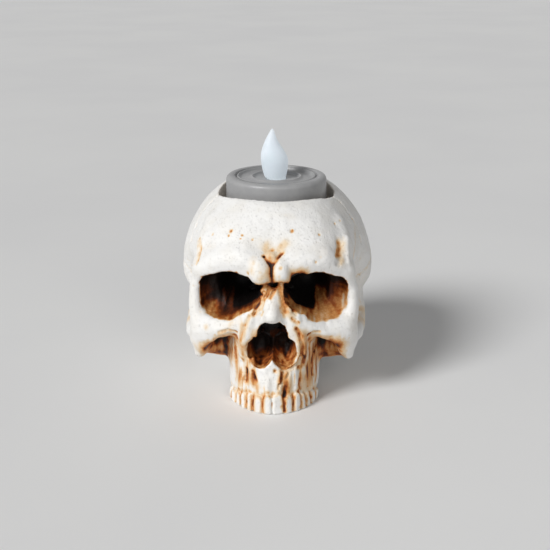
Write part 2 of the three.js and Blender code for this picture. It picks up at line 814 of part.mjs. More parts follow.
function led() {
  const radius = LED_DIAMETER / 2;
  const rim = LED_RIM_DIAMETER / 2;
  return turned([
    [0, ledFloor],
    [rim, ledFloor],
    [rim, ledFloor + LED_RIM_THICKNESS],
    [radius, ledFloor + LED_RIM_THICKNESS],
    ...quarter([0, ledTop - radius], radius, 0).slice(0, -1),
    [0, ledTop],
  ], SMALL_SIDES);
}

// Lead of the diode: down from its base, level to its contact, and down again by the length given
function lead(x, endX, endY, endFloor) {
  const radius = LEAD_DIAMETER / 2;
  const stretch = (low, high, px, py) => turned([[0, low], [radius, low], [radius, high], [0, high]], LEAD_SIDES)
    .translate(px, py, 0);
  const level = leadLevel - radius;
  const run = Math.hypot(endX - x, endY);
  const across = turned([[0, 0], [radius, 0], [radius, run], [0, run]], LEAD_SIDES)
    .rotateY(Math.PI / 2)
    .rotateZ(Math.atan2(endY, endX - x))
    .translate(x, 0, leadLevel);
  let body = solid(across).add(solid(stretch(level, ledFloor, x, 0)));
  if (endFloor < level) body = body.add(solid(stretch(endFloor, leadLevel + radius, endX, endY)));
  return surface(body);
}

// Disc under the cup with a bayonet hole, a slot for the switch and the pocket that holds the cell
function basePlate() {
  const [below, above] = [PLATE_RECESS - OVERRUN, plateTop + OVERRUN];
  const disc = solid(ring(0, plateRadius, PLATE_RECESS, plateTop, CUP_SIDES));
  const hole = solid(ring(0, collarOuter + CLEARANCE, below, above, CUP_SIDES).translate(pocketX, 0, 0));
  const slot = solid(plate(switchX, 0, KNOB_WIDTH + 2 * CLEARANCE, KNOB_LENGTH + SWITCH_TRAVEL + 2 * CLEARANCE,
    below, above));
  const wall = solid(ring(pocketInner, pocketOuter, plateTop, pocketTop, CUP_SIDES).translate(pocketX, 0, 0));
  const roof = solid(ring(0, pocketOuter, pocketCeiling, pocketTop, CUP_SIDES).translate(pocketX, 0, 0));
  const springSlot = solid(plate(pocketX - SPRING_REACH, 0, CONTACT_THICKNESS + 2 * CLEARANCE,
    CONTACT_WIDTH + 2 * CLEARANCE, pocketCeiling - OVERRUN, pocketTop + OVERRUN));
  const tongueSlot = solid(plate(pocketX + pocketOuter, tongueY, 2 * POCKET_WALL + 2 * OVERRUN,
    CONTACT_TONGUE + 2 * CLEARANCE, contactTop - CONTACT_THICKNESS - CLEARANCE, contactTop + CLEARANCE));
  let body = disc.subtract(hole).subtract(slot).add(wall).add(roof).subtract(springSlot).subtract(tongueSlot);
  for (const angle of lugAngles) {
    const reach = LUG_ANGLE + 2 * NOTCH_PLAY;
    const notch = sector(collarInner, pocketInner, angle + LOCK_TURN, reach, below, plateTop + OVERRUN / 2);
    body = body.subtract(solid(notch.translate(pocketX, 0, 0)));
  }
  return surface(body);
}

// Door of the cell, turned to lock: two lugs above the plate, a coin slot underneath
function batteryDoor() {
  const disc = solid(ring(0, collarOuter, PLATE_RECESS, plateTop, CUP_SIDES));
  const collar = solid(ring(collarInner, collarOuter, plateTop, lugTop, CUP_SIDES));
  const slot = solid(plate(0, 0, COIN_SLOT_WIDTH, COIN_SLOT_LENGTH, PLATE_RECESS - OVERRUN,
    PLATE_RECESS + COIN_SLOT_DEPTH));
  let body = disc.add(collar).subtract(slot);
  for (const angle of lugAngles) {
    body = body.add(solid(sector(collarInner, lugOuter, angle, LUG_ANGLE, lugFloor, lugTop)));
  }
  return surface(body);
}

// Cell with a rounded can edge and, on top, the smaller plate of its other pole
function coinCell() {
  const radius = CELL_DIAMETER / 2;
  const crimp = cellTop - CELL_EDGE_RADIUS / 2;
  return turned([
    [0, cellFloor],
    [radius - CELL_EDGE_RADIUS, cellFloor],
    [radius, cellFloor + CELL_EDGE_RADIUS],
    [radius, crimp - CELL_EDGE_RADIUS],
    [radius - CELL_EDGE_RADIUS, crimp],
    [CELL_POLE_DIAMETER / 2, crimp],
    [CELL_POLE_DIAMETER / 2, cellTop],
    [0, cellTop],
  ], CUP_SIDES);
}

// Sheet metal bent along a side view: corner points [x, height] of the strip, and its width round a place along Y
function bentStrip(corners, width, y) {
  const shape = new THREE.Shape(corners.map(([x, height]) => new THREE.Vector2(x, height)));
  const settings = { depth: width, bevelEnabled: false };
  return new THREE.ExtrudeGeometry(shape, settings).rotateX(Math.PI / 2).translate(0, y + width / 2, 0);
}

// Tongue that touches the side of the cell and reaches over the switch
function positiveContact() {
  const near = pocketX + collarInner;
  const far = switchX - CONTACT_THICKNESS;
  const foot = lugTop + CLEARANCE;
  const under = contactTop - CONTACT_THICKNESS;
  return bentStrip([
    [near, foot],
    [near + CONTACT_THICKNESS, foot],
    [near + CONTACT_THICKNESS, under],
    [far - CONTACT_THICKNESS, under],
    [far - CONTACT_THICKNESS, contactFoot],
    [far, contactFoot],
    [far, contactTop],
    [near, contactTop],
  ], CONTACT_TONGUE, tongueY);
}

// Leaf spring that presses on top of the cell, with a tab up through the pocket's roof
function negativeContact() {
  const tab = pocketX - SPRING_REACH - CONTACT_THICKNESS / 2;
  const bend = SPRING_REACH / 4;
  const low = cellTop + CLEARANCE;
  const shelf = pocketCeiling - CONTACT_THICKNESS;
  return bentStrip([
    [tab, shelf],
    [tab + bend, shelf],
    [pocketX - bend, low],
    [pocketX + bend, low],
    [pocketX + 2 * bend, low + springDrop],
    [pocketX + 2 * bend, low + springDrop + CONTACT_THICKNESS],
    [pocketX + bend, low + CONTACT_THICKNESS],
    [pocketX - bend, low + CONTACT_THICKNESS],
    [tab + bend, pocketCeiling],
    [tab + CONTACT_THICKNESS, pocketCeiling],
    [tab + CONTACT_THICKNESS, leadLevel + LEAD_DIAMETER],
    [tab, leadLevel + LEAD_DIAMETER],
  ], CONTACT_WIDTH, 0);
}

// Slider of the switch: a knob through the plate and a flange that rides on it
function switchSlider() {
  const knob = solid(plate(0, 0, KNOB_WIDTH, KNOB_LENGTH, PLATE_RECESS - KNOB_REACH, sliderTop));
  const flange = solid(plate(0, 0, sliderWidth, sliderLength, flangeSeat, sliderTop));
  return surface(knob.add(flange));
}

function switchWiper() {
  return plate(0, 0, sliderWidth - 2 * CONTACT_THICKNESS, KNOB_LENGTH, sliderTop, wiperTop);
}

const finish = (color, roughness, metalness = 0) => new THREE.MeshStandardMaterial({ color, roughness, metalness });

const boneResin = finish(0xece6da, 0.6);
const greyPlastic = finish(0x8b8b8b, 0.5);
const milkyPlastic = finish(0xdfe6ee, 0.4);
const clearLens = finish(0xf4f1dc, 0.15);
const blackPlastic = finish(0x2a2a2c, 0.5);
const steel = finish(0xb9bcc0, 0.3, 1);

function piece(name, geometry, material) {
  const mesh = new THREE.Mesh(geometry, material);
  mesh.name = name;
  return mesh;
}

// Door and cell share the pocket's axis
const pocket = new THREE.Group();
pocket.position.x = pocketX;
pocket.add(piece('battery_door', batteryDoor(), greyPlastic), piece('coin_cell', coinCell(), steel));

// Slider at the off end of its slot
const slider = new THREE.Group();
slider.position.set(switchX, -SWITCH_TRAVEL / 2, 0);
slider.add(piece('switch_slider', switchSlider(), blackPlastic), piece('switch_wiper', switchWiper(), steel));

const tealight = new THREE.Group();
tealight.position.z = recessFloor;
tealight.add(
  piece('candle_shell', candleShell(), greyPlastic),
  piece('flame_diffuser', flameDiffuser(), milkyPlastic),
  piece('led', led(), clearLens),
  piece('led_anode_lead', lead(LEAD_PITCH / 2, switchX + LEAD_DIAMETER, tongueY, contactFoot), steel),
  piece('led_cathode_lead', lead(-LEAD_PITCH / 2, pocketX - SPRING_REACH + CLEARANCE, 0, leadLevel), steel),
  piece('base_plate', basePlate(), greyPlastic),
  piece('positive_contact', positiveContact(), steel),
  piece('negative_contact', negativeContact(), steel),
  pocket,
  slider,
);

// The holder stands centred on its own box, teeth and foot on z = 0
const holder = new THREE.Group();
holder.add(piece('skull_body', skullBody(), boneResin), tealight);
const box = new THREE.Box3().setFromObject(holder);
holder.position.y = -(box.min.y + box.max.y) / 2;

export default holder;
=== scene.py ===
import math

import bpy
import numpy as np
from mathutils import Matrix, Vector


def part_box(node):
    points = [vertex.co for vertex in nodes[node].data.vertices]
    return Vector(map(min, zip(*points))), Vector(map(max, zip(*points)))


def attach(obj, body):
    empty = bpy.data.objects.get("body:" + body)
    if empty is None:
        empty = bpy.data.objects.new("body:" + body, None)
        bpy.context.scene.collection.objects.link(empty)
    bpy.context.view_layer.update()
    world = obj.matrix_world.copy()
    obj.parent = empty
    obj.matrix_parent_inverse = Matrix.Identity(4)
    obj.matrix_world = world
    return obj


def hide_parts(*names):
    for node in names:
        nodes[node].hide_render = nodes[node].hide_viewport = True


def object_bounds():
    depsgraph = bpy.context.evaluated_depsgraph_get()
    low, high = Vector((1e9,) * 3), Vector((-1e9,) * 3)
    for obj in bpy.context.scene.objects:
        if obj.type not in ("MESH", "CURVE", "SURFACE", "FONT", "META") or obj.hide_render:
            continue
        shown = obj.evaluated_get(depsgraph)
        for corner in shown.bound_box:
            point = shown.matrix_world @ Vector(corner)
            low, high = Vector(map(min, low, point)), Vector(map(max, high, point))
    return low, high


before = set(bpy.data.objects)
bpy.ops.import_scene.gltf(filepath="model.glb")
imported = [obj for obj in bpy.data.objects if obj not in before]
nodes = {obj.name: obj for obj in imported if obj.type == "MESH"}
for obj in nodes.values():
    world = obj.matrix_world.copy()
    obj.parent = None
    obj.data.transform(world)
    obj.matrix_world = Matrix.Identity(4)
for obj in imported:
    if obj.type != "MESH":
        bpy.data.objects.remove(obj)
cad_low, cad_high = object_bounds()

MM = 0.001
PERCENT = 0.01
TINY = 1e-6
cup_low, cup_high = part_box("candle_shell")
flame_low, flame_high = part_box("flame_diffuser")
axis_y = (cup_low.y + cup_high.y) / 2
recess_floor = cup_low.z
cup_radius = (cup_high.x - cup_low.x) / 2
cup_height = cup_high.z - cup_low.z

# Skull: its size, a hundredth of it, the recess for the cup, the samples and the most triangles
SKULL_SIZE = np.array([75, 90, 80]) * MM
SHARE = SKULL_SIZE * PERCENT
share_mm = SHARE / MM
RECESS_CLEARANCE = 2.7 * MM
RECESS_EDGE = 0.9 * MM
recess_radius = cup_radius + RECESS_CLEARANCE
SPACING = 0.42 * MM
MOST_FACES = 195_000

# Camera of the photograph: its direction, distance to its target, and pixels to the millimetre there
PHOTO_SIDE = 550
CAMERA_AZIMUTH, CAMERA_ELEVATION = math.radians(2.2), math.radians(17.8)
CAMERA_DISTANCE = 430 * MM
CAMERA_TARGET = Vector((-0.5 * MM, axis_y, 40 * MM))
PIXELS_PER_MM = 2.57
SENSOR = 36

# How far rays are followed to either side of the place that they aim at
HALF_MARCH = 80 * MM

# Random values on a lattice, from which smooth noise is made
seeded = np.random.default_rng(11)
LATTICE = 64
lattice = seeded.random((LATTICE,) * 3, dtype=np.float32)


def corner_mean(values, cells, parts):
    """Values at places between samples, from the eight samples round each."""
    total = 0
    for corner in np.ndindex(2, 2, 2):
        weight = 1
        for part, far in zip(parts, corner):
            weight = weight * (part if far else 1 - part)
        index = tuple((cell + far) % count for cell, far, count in zip(cells, corner, values.shape))
        total = total + weight * values[index]
    return total


def noise(x, y, z):
    """Smooth noise from -1 to 1 with a grain of about one unit."""
    cells = [np.floor(v).astype(np.int64) for v in (x, y, z)]
    parts = [(v - cell).astype(np.float32) for v, cell in zip((x, y, z), cells)]
    return 2 * corner_mean(lattice, cells, [part * part * (3 - 2 * part) for part in parts]) - 1


# Forms of the skull, in percent: of its width across, of its length along, of its height up.
# Each form gives its lowest and highest corner and its distance at places, and stands for a pair.

def smooth_min(a, b, blend):
    if blend <= 0:
        return np.minimum(a, b)
    mix = np.clip(0.5 + 0.5 * (b - a) / blend, 0, 1)
    return b + (a - b) * mix - blend * mix * (1 - mix)


def ball(cx, cy, cz, rx, ry, rz):
    centre, size = np.array([cx, cy, cz], float), np.array([rx, ry, rz], float)

    def distance(x, y, z):
        u, v, w = (x - cx) / rx, (y - cy) / ry, (z - cz) / rz
        reach = np.sqrt(u * u + v * v + w * w)
        slope = np.sqrt((u / rx) ** 2 + (v / ry) ** 2 + (w / rz) ** 2) + TINY
        return reach * (reach - 1) / slope

    return centre - size, centre + size, distance


def block(cx, cy, cz, rx, ry, rz, power):
    centre, size = np.array([cx, cy, cz], float), np.array([rx, ry, rz], float)

    def distance(x, y, z):
        parts = [np.abs(part) ** power for part in ((x - cx) / rx, (y - cy) / ry, (z - cz) / rz)]
        return (sum(parts) ** (1 / power) - 1) * size.min()

    return centre - size, centre + size, distance


def pillar(middle, across, along):
    """An upright oval pillar without ends."""
    def distance(x, y, z):
        return (np.hypot(x / across, (y - middle) / along) - 1) * across + 0 * z

    return np.array([-across, middle - along, -np.inf]), np.array([across, middle + along, np.inf]), distance


def side(nx, ny, nz, level):
    """All that lies behind a flat plane."""
    def distance(x, y, z):
        return nx * x + ny * y + nz * z - level

    return np.full(3, -np.inf), np.full(3, np.inf), distance


def rod(*points):
    """A round rod through points, each with its radius."""
    points = np.array(points, float)

    def distance(x, y, z):
        nearest = None
        for start, end in zip(points, points[1:]):
            step = end - start
            u, v, w = x - start[0], y - start[1], z - start[2]
            along = np.clip((u * step[0] + v * step[1] + w * step[2]) / (step[:3] @ step[:3]), 0, 1)
            away = np.sqrt((u - along * step[0]) ** 2 + (v - along * step[1]) ** 2
                           + (w - along * step[2]) ** 2)
            away = away - start[3] - along * step[3]
            nearest = away if nearest is None else np.minimum(nearest, away)
        return nearest

    reach = points[:, 3:]
    return (points[:, :3] - reach).min(0), (points[:, :3] + reach).max(0), distance


def group(*steps):
    low = np.min([form[0] for way, blend, form in steps if way == JOIN], axis=0)
    high = np.max([form[1] for way, blend, form in steps if way == JOIN], axis=0)
    return low, high, lambda x, y, z: sculpted(steps, x, y, z)


# What a step does, the field far from all forms, and how far past its blend a form is worked out: in percent
# where forms are in percent, and in samples where they are in metres
JOIN, CUT = "join", "cut"
FAR = np.float32(60)
BLEND_REACH = 3


def carve(field, samples, margin, way, blend, form):
    """Joins a form to a field of samples or cuts it out; the form is worked out only near itself."""
    x, y, z = samples
    low, high, distance = form
    cut = []
    for line, least, most in zip(samples, low - margin, high + margin):
        first, last = np.searchsorted(line.ravel(), [least, most])
        cut.append(slice(max(first - 1, 0), last + 1))
    cut = tuple(cut)
    here = distance(x[cut[0]], y[:, cut[1]], z[:, :, cut[2]]).astype(np.float32)
    sign = 1 if way == JOIN else -1
    field[cut] = sign * smooth_min(sign * field[cut], here, blend)


def sculpted(steps, x, y, z, start=None):
    field = np.full(np.broadcast_shapes(x.shape, y.shape, z.shape), FAR) if start is None else start.copy()
    for way, blend, form in steps:
        carve(field, (x, y, z), blend + BLEND_REACH, way, blend, form)
    return field


vault_shares = [
    [JOIN, 0, ball(0, 12, 53, 49.6, 40, 47.5)],
    [JOIN, 10, ball(0, -6.7, 60, 42, 35, 41)],
    [JOIN, 7.5, ball(14.7, -22.2, 65, 21.3, 19.4, 21.3)],
    [CUT, 2, side(0, 0.09, -1, -96.2)],
]

# Hollow temples, the ridge in front of them, and the flat underside with its foot
temple_shares = [
    [CUT, 5, ball(49, -15.5, 42.5, 13.5, 16.7, 23.8)],
    [CUT, 4, ball(56, 4.5, 38, 12.5, 22, 8.8)],
    [JOIN, 6, rod([34.3, -28.5, 65, 3], [35, -24.8, 74, 2.2], [31.5, -18.5, 82, 1])],
    [CUT, 4, rod([42.8, -22.6, 73, 2.2], [43, -22.8, 62, 3.6], [44, -21, 52.5, 5])],
]

base_shares = [
    [JOIN, 7.5, block(0, 6.7, 29.4, 37, 32, 13.8, 4)],
    [JOIN, 7.5, block(0, 22, 7.5, 22, 19, 11.3, 3)],
    [JOIN, 5, rod([36, 15.6, 33.8, 7.5], [33.3, 14.4, 16.3, 4.5])],
]

brow_shares = [
    [JOIN, 5.5, rod([4.7, -40.4, 69, 4.3], [13.3, -40, 71.5, 4.2], [24, -37.2, 71, 4],
                    [34, -31.7, 64.5, 3.4])],
    [JOIN, 1, ball(4.4, -42.8, 66, 4.6, 4.2, 5.8)],
    [JOIN, 5, ball(0, -24.4, 45, 34.7, 19, 23.8)],
]

# Cheekbones with their outer and lower rims, the hollow below, the gap behind and the arch to the ear
cheek_shares = [
    [JOIN, 3.8, group(
        [JOIN, 0, ball(29.3, -31.1, 35, 10.7, 6.7, 8.1)],
        [JOIN, 3, rod([34.7, -30, 63.8, 3.3], [38, -28.7, 55, 3.1], [38, -28.7, 45, 3.8],
                      [36, -28.9, 35, 5.2], [36.8, -27.4, 22.5, 3])],
        [JOIN, 3, ball(33.5, -29, 29, 5.5, 5, 7)],
        [JOIN, 3, rod([34.7, -31.7, 38, 3.8], [24, -37, 37.5, 3.5], [13.3, -40, 42, 3.3], [7, -40.7, 51, 3])],
    )],
    [CUT, 2.5, ball(22.5, -33.3, 12.5, 12.3, 14.4, 21.5)],
    [CUT, 7.5, ball(36, -13.3, 41, 5, 10, 15.8)],
    [JOIN, 3, rod([37.3, -27.2, 30, 4.2], [41.3, -19, 29.4, 3.5], [42.7, -9, 29.4, 3.3], [42.4, 1, 30.6, 3.7],
                  [41, 9, 33, 4.5])],
    [JOIN, 6, rod([16, -20.5, 21.6, 3.2], [24, -19, 21.4, 3.2], [32.5, -21, 22.6, 2.6])],
]

# Half ellipse on which the teeth stand: its middle and its half sizes
ARCH_MIDDLE, ARCH_ACROSS, ARCH_ALONG = -18.3, 21.2, 26.4

# Upper jaw round the dental arch, nose and the hollow palate
jaw_shares = [
    [JOIN, 3.5, group(
        [JOIN, 0, pillar(ARCH_MIDDLE, 22.6, 27)],
        [CUT, 6, side(0, 0, -1, -45)],
        [CUT, 1.5, side(0, 0, 1, 4)],
        [CUT, 5, side(0, -1, 0, 8)],
    )],
    [CUT, 4, ball(20.5, -42.4, 31.5, 4.5, 3.4, 5)],
    [JOIN, 2.8, group(
        [JOIN, 0, rod([0, -39.4, 61.3, 2.5], [0, -42, 55, 2.8], [0, -44.6, 47.4, 4])],
        [JOIN, 3.8, rod([4.3, -39.4, 57.5, 2.6], [8.8, -40.2, 47.5, 3], [13.2, -41, 35, 3],
                        [14.5, -38.5, 26, 2])],
    )],
    [CUT, 2, ball(0, -16.7, 0, 13.5, 21.7, 12.5)],
]

socket_shares = [
    [CUT, 1.2, group(
        [JOIN, 0, ball(14.5, -40, 56.5, 9.2, 13.9, 8.3)],
        [JOIN, 2.5, ball(20.5, -40, 55.8, 10.7, 13.9, 10.3)],
        [JOIN, 2.5, block(26.2, -37.2, 52.7, 10, 13.3, 10.4, 3)],
    )],
    [CUT, 2.5, ball(16.8, -26.7, 55, 10.4, 13.3, 9.3)],
]

nose_shares = [
    [CUT, 0.8, group(
        [JOIN, 0, ball(5.2, -42, 30, 6.8, 11, 6.2)],
        [JOIN, 2, ball(6.1, -42, 27, 5.2, 11, 5.8)],
        [JOIN, 1, ball(0, -42, 37.5, 7.4, 11, 7)],
    )],
    [JOIN, 1.2, rod([0, -33.3, 18.8, 2], [0, -42.4, 23.3, 1.2])],
]

# Floor of the crease between the knobs of the brow
crease_shares = [[JOIN, 1.6, rod([0, -40.4, 59, 2.6], [0, -42.2, 65, 2.4], [0, -41.4, 73, 2.2])]]

mass_steps = vault_shares + temple_shares + base_shares + brow_shares + cheek_shares + jaw_shares
mass_steps += crease_shares
opening_steps = socket_shares + nose_shares

# Upper teeth, from the middle one outwards: crown in percent of the skull's height, half thickness in percent
# of its length, and the length of the root's ridge above the crown in percent of its height
tooth_shares = [
    [9.3, 1.9, 9], [8.8, 1.8, 10], [8.8, 2.1, 16], [7.5, 2.2, 11], [6.8, 2.2, 9], [6, 2.4, 7], [5.5, 2.4, 5],
]
# Their widths on each side, in percent of the arch's run from middle to widest
tooth_width_shares = {
    -1: [10.4, 11.6, 8.6, 9.6, 10.1, 12.4, 11.8],
    1: [13.2, 10.6, 10.2, 8.6, 8.6, 11.8, 11.5],
}
ARCH_POINTS = 2000
TOOTH_ROOT_SHARE = 1
TOOTH_POWER = 4.5
TOOTH_BLEND = 0.3 * MM
# Share of its place that a tooth fills, and how it strays: in width, thickness, height, turn and forwards
TOOTH_FILL, WIDTH_STRAY, THICKNESS_STRAY, HEIGHT_STRAY = 0.99, 0.02, 0.06, 0.04
TURN_STRAY = 0.06
FORWARD_STRAY = 0.15 * MM
ROOT_RADIUS = 1.75 * MM
ROOT_FILL = 0.95
ROOT_SINK = 0.55 * MM
ROOT_BLEND = 0.8 * MM
# Grooves round the teeth, with the washes along gum and edge and how much those stray
GUM_GROOVE = 0.34 * MM
GUM_ARCH = 0.7 * MM
GUM_BLEND = 0.3 * MM
GUM_STAIN = 1.6
GUM_WASH, GUM_WASH_STRAY = 0.58, 0.16
EDGE_WASH, EDGE_WASH_STRAY = 0.5, 0.25

class Grid:
    """Samples of the skull's field in metres, with a line of them on the middle plane. The field without its
    openings, and the one with them but without marks, are kept beside it."""

    def __init__(self, low, high, spacing):
        self.spacing = spacing
        half = math.ceil(high[0] / spacing)
        counts = [math.ceil((high[k] - low[k]) / spacing) + 1 for k in (1, 2)]
        self.lines = [spacing * np.arange(-half, half + 1)]
        self.lines += [low[k] + spacing * np.arange(count) for k, count in zip((1, 2), counts)]
        self.low = np.array([line[0] for line in self.lines])
        self.x, self.y, self.z = np.ix_(*self.lines)
        axes = (self.x[half:], self.y - axis_y, self.z)
        shares = [(axis / part).astype(np.float32) for axis, part in zip(axes, SHARE)]
        mass = sculpted(mass_steps, *shares)
        opened = sculpted(opening_steps, *shares, start=mass)
        self.mass, self.opened = [np.concatenate([part[:0:-1], part]) * SHARE[2] for part in (mass, opened)]
        self.field = self.opened.copy()

    def apply(self, way, blend, form):
        """Joins or cuts a form given in metres."""
        carve(self.field, (self.x, self.y, self.z), blend + BLEND_REACH * self.spacing, way, blend, form)

    def sample(self, values, points):
        """Values at points, worked out between samples."""
        place = (points - self.low) / self.spacing
        cell = np.clip(np.floor(place).astype(int), 0, np.array(values.shape) - 2)
        return corner_mean(values, cell.T, (place - cell).astype(np.float32).T)


def box_mean(values, reach, axis):
    """The mean over a run of samples along one axis."""
    margin = [(0, 0)] * 3
    margin[axis] = (reach + 1, reach)
    run = np.cumsum(np.pad(values, margin, mode="edge"), axis=axis, dtype=np.float32)
    return (np.take(run, range(2 * reach + 1, run.shape[axis]), axis)
            - np.take(run, range(0, run.shape[axis] - 2 * reach - 1), axis)) / (2 * reach + 1)


def blurred(values, radius, spacing):
    """Samples blurred softly, by two box means along each axis."""
    reach = max(1, round(radius / spacing))
    for axis in (0, 1, 2, 0, 1, 2):
        values = box_mean(values, reach, axis)
    return values


def unit(vectors):
    return vectors / np.linalg.norm(vectors, axis=1, keepdims=True)


def camera_axes():
    back = Vector((math.sin(CAMERA_AZIMUTH) * math.cos(CAMERA_ELEVATION),
                   -math.cos(CAMERA_AZIMUTH) * math.cos(CAMERA_ELEVATION),
                   math.sin(CAMERA_ELEVATION)))
    turn = (-back).to_track_quat("-Z", "Y")
    return CAMERA_TARGET + back * CAMERA_DISTANCE, turn


def met_points(grid, starts, rays):
    """Where rays first meet the skull, and those rays; rays that miss it are left out."""
    reach = np.arange(-HALF_MARCH, HALF_MARCH, grid.spacing / 2)
    marched = starts[:, None] + rays[:, None] * reach[None, :, None]
    heights = grid.sample(grid.field, marched.reshape(-1, 3)).reshape(marched.shape[:2])
    low, high = grid.low, np.array([line[-1] for line in grid.lines])
    inside = (heights < 0) & ((marched > low) & (marched < high)).all(axis=2)
    met = inside.any(axis=1)
    first = inside.argmax(axis=1)
    return marched[np.arange(len(rays)), first][met], rays[met]


def seen_points(grid, pixels):
    """Where the skull is seen at pixels of the photograph, and the camera's rays there."""
    place, turn = camera_axes()
    offset = pixels - PHOTO_SIDE / 2
    ahead = np.full(len(offset), -PIXELS_PER_MM * CAMERA_DISTANCE / MM)
    rays = unit(np.stack([offset[:, 0], -offset[:, 1], ahead], axis=1) @ np.array(turn.to_matrix()).T)
    return met_points(grid, np.array(place) + rays * CAMERA_DISTANCE, rays)


# Marks, with places read off the photograph in its pixels. Grooves and pits are carved and stained:
# width in pixels, depth in millimetres, wash, then points.
GROOVES = [
    # Upper branches of the crease between the knobs of the brow
    [3, 0.5, 0.3, (263.6, 256.6), (267, 261), (270.6, 265)],
    [2.6, 0.45, 0.32, (282.2, 253.4), (277.5, 258.5), (273.2, 264.5)],
    # Under the knobs into the sockets
    [5.4, 1.5, 0.8, (272, 285.5), (265, 285), (258, 286.5), (251, 289)],
    [5.2, 1.5, 0.75, (272, 285.5), (279, 284.4), (286, 285), (292, 288)],
    # Left of the nose's bridge
    [2.4, 0.8, 0.6, (269.3, 289), (266.7, 295.8)],
    [3, 1, 0.7, (263.6, 293), (260.6, 301), (257.4, 308), (254, 314.5)],
    [2.2, 0.5, 0.4, (265.6, 297), (261, 309)],
    [2.2, 0.6, 0.5, (274.5, 290), (270.5, 297.5)],
    [3.4, 0.4, 0.2, (249, 316), (245, 326), (242, 333), (240, 341)],
    # Right of it, wider and paler
    [5, 0.6, 0.28, (279.5, 288), (281.6, 296), (283.2, 304), (286.5, 312)],
    [3, 0.5, 0.18, (287, 297), (290.5, 306), (296, 314)],
    [2.4, 0.5, 0.45, (292, 318.5), (295, 321), (298, 323)],
    # Groove round the right rim of the nose
    [3, 1, 0.55, (296.5, 329), (300.6, 337), (302.2, 346), (301.2, 356), (296.8, 364), (291, 369),
     (285.5, 371)],
    # Above the hollows under the cheeks
    [3, 0.4, 0.2, (219, 333), (228, 330.5), (236, 332)],
    [3, 0.4, 0.2, (308, 335), (313.5, 332), (319, 332)],
    # Upper rim of the right socket, and dents in the right and left temples
    [8, 2.6, 0.8, (295, 277), (301, 275.5)],
    [9.4, 0.2, 0.1, (340.8, 241), (341, 252), (341, 262)],
    [2.4, 0.3, 0.12, (199.4, 239), (200.6, 247), (199, 257), (196.5, 265)],
    # Slits above the teeth
    [2.6, 0.9, 0.6, (246.6, 369.5), (246, 375), (245.4, 381)],
    [2.6, 0.7, 0.4, (252.6, 371), (254, 376), (256, 381.6)],
    [3.2, 1.1, 0.8, (283, 371.5), (281.4, 376), (280.4, 381)],
    [2, 0.6, 0.45, (280, 382), (278.6, 389)],
    [2.6, 0.9, 0.75, (285, 387.5), (284.3, 395.5)],
    [2.4, 0.7, 0.45, (288.6, 373), (287, 379)],
    [2.4, 0.7, 0.5, (299.4, 380), (300.6, 389)],
    [2.2, 0.5, 0.28, (306, 366), (305, 378)],
    [2.6, 0.6, 0.35, (303.5, 357), (302, 366)],
    [4, 0.6, 0.4, (316.5, 346), (313.6, 354), (312.4, 364), (312.6, 374)],
]

PITS = [
    [1.7, 0.5, 0.66, (230.9, 231.8)],
    [1.5, 0.4, 0.5, (228.5, 235.5)],
    [2.2, 0.3, 0.18, (213, 234.9)],
    [1.6, 0.5, 0.62, (242.6, 235)],
    [1.6, 0.4, 0.4, (240.7, 239)],
    [1.6, 0.3, 0.28, (252.4, 240)],
    [1.7, 0.5, 0.74, (291.8, 231.8)],
    [1.8, 0.3, 0.25, (192.1, 241.2)],
    [1.7, 0.3, 0.2, (319.4, 234.5)],
    [1.7, 0.3, 0.2, (334.5, 223.6)],
    [1.7, 0.3, 0.2, (340, 220.6)],
    [1.8, 0.3, 0.2, (316, 262)],
    [1.7, 0.3, 0.25, (280.5, 268)],
    [3.2, 0.9, 0.7, (275, 371.4)],
    [2.8, 0.8, 0.7, (299, 367.5)],
    [2.8, 0.8, 0.8, (298.5, 392)],
    [2.4, 0.6, 0.5, (307, 386.7)],
    [2.4, 0.5, 0.45, (263.8, 257)],
    # Broken upper edge of the nose opening
    [5.4, 1.8, 0.4, (258, 331)],
    [4.6, 1.6, 0.4, (255.4, 337.5)],
    [5, 1.8, 0.5, (263, 325.5)],
    [4.6, 1.8, 0.5, (280.5, 327)],
    [4.2, 1.6, 0.5, (290, 341.5)],
    [4.2, 1.4, 0.4, (248.6, 343.5)],
]

# Raised ridges: width in pixels, height in millimetres, points
RIDGES = [
    [18, 1.1, (259.2, 268), (260, 274)],
    [13.5, 1, (281.4, 266), (280.6, 274)],
    [4, 0.5, (346.5, 238), (346, 248), (348, 262)],
    [2.6, 0.4, (298, 345), (298.6, 354), (295, 362), (288.5, 367.6)],
]

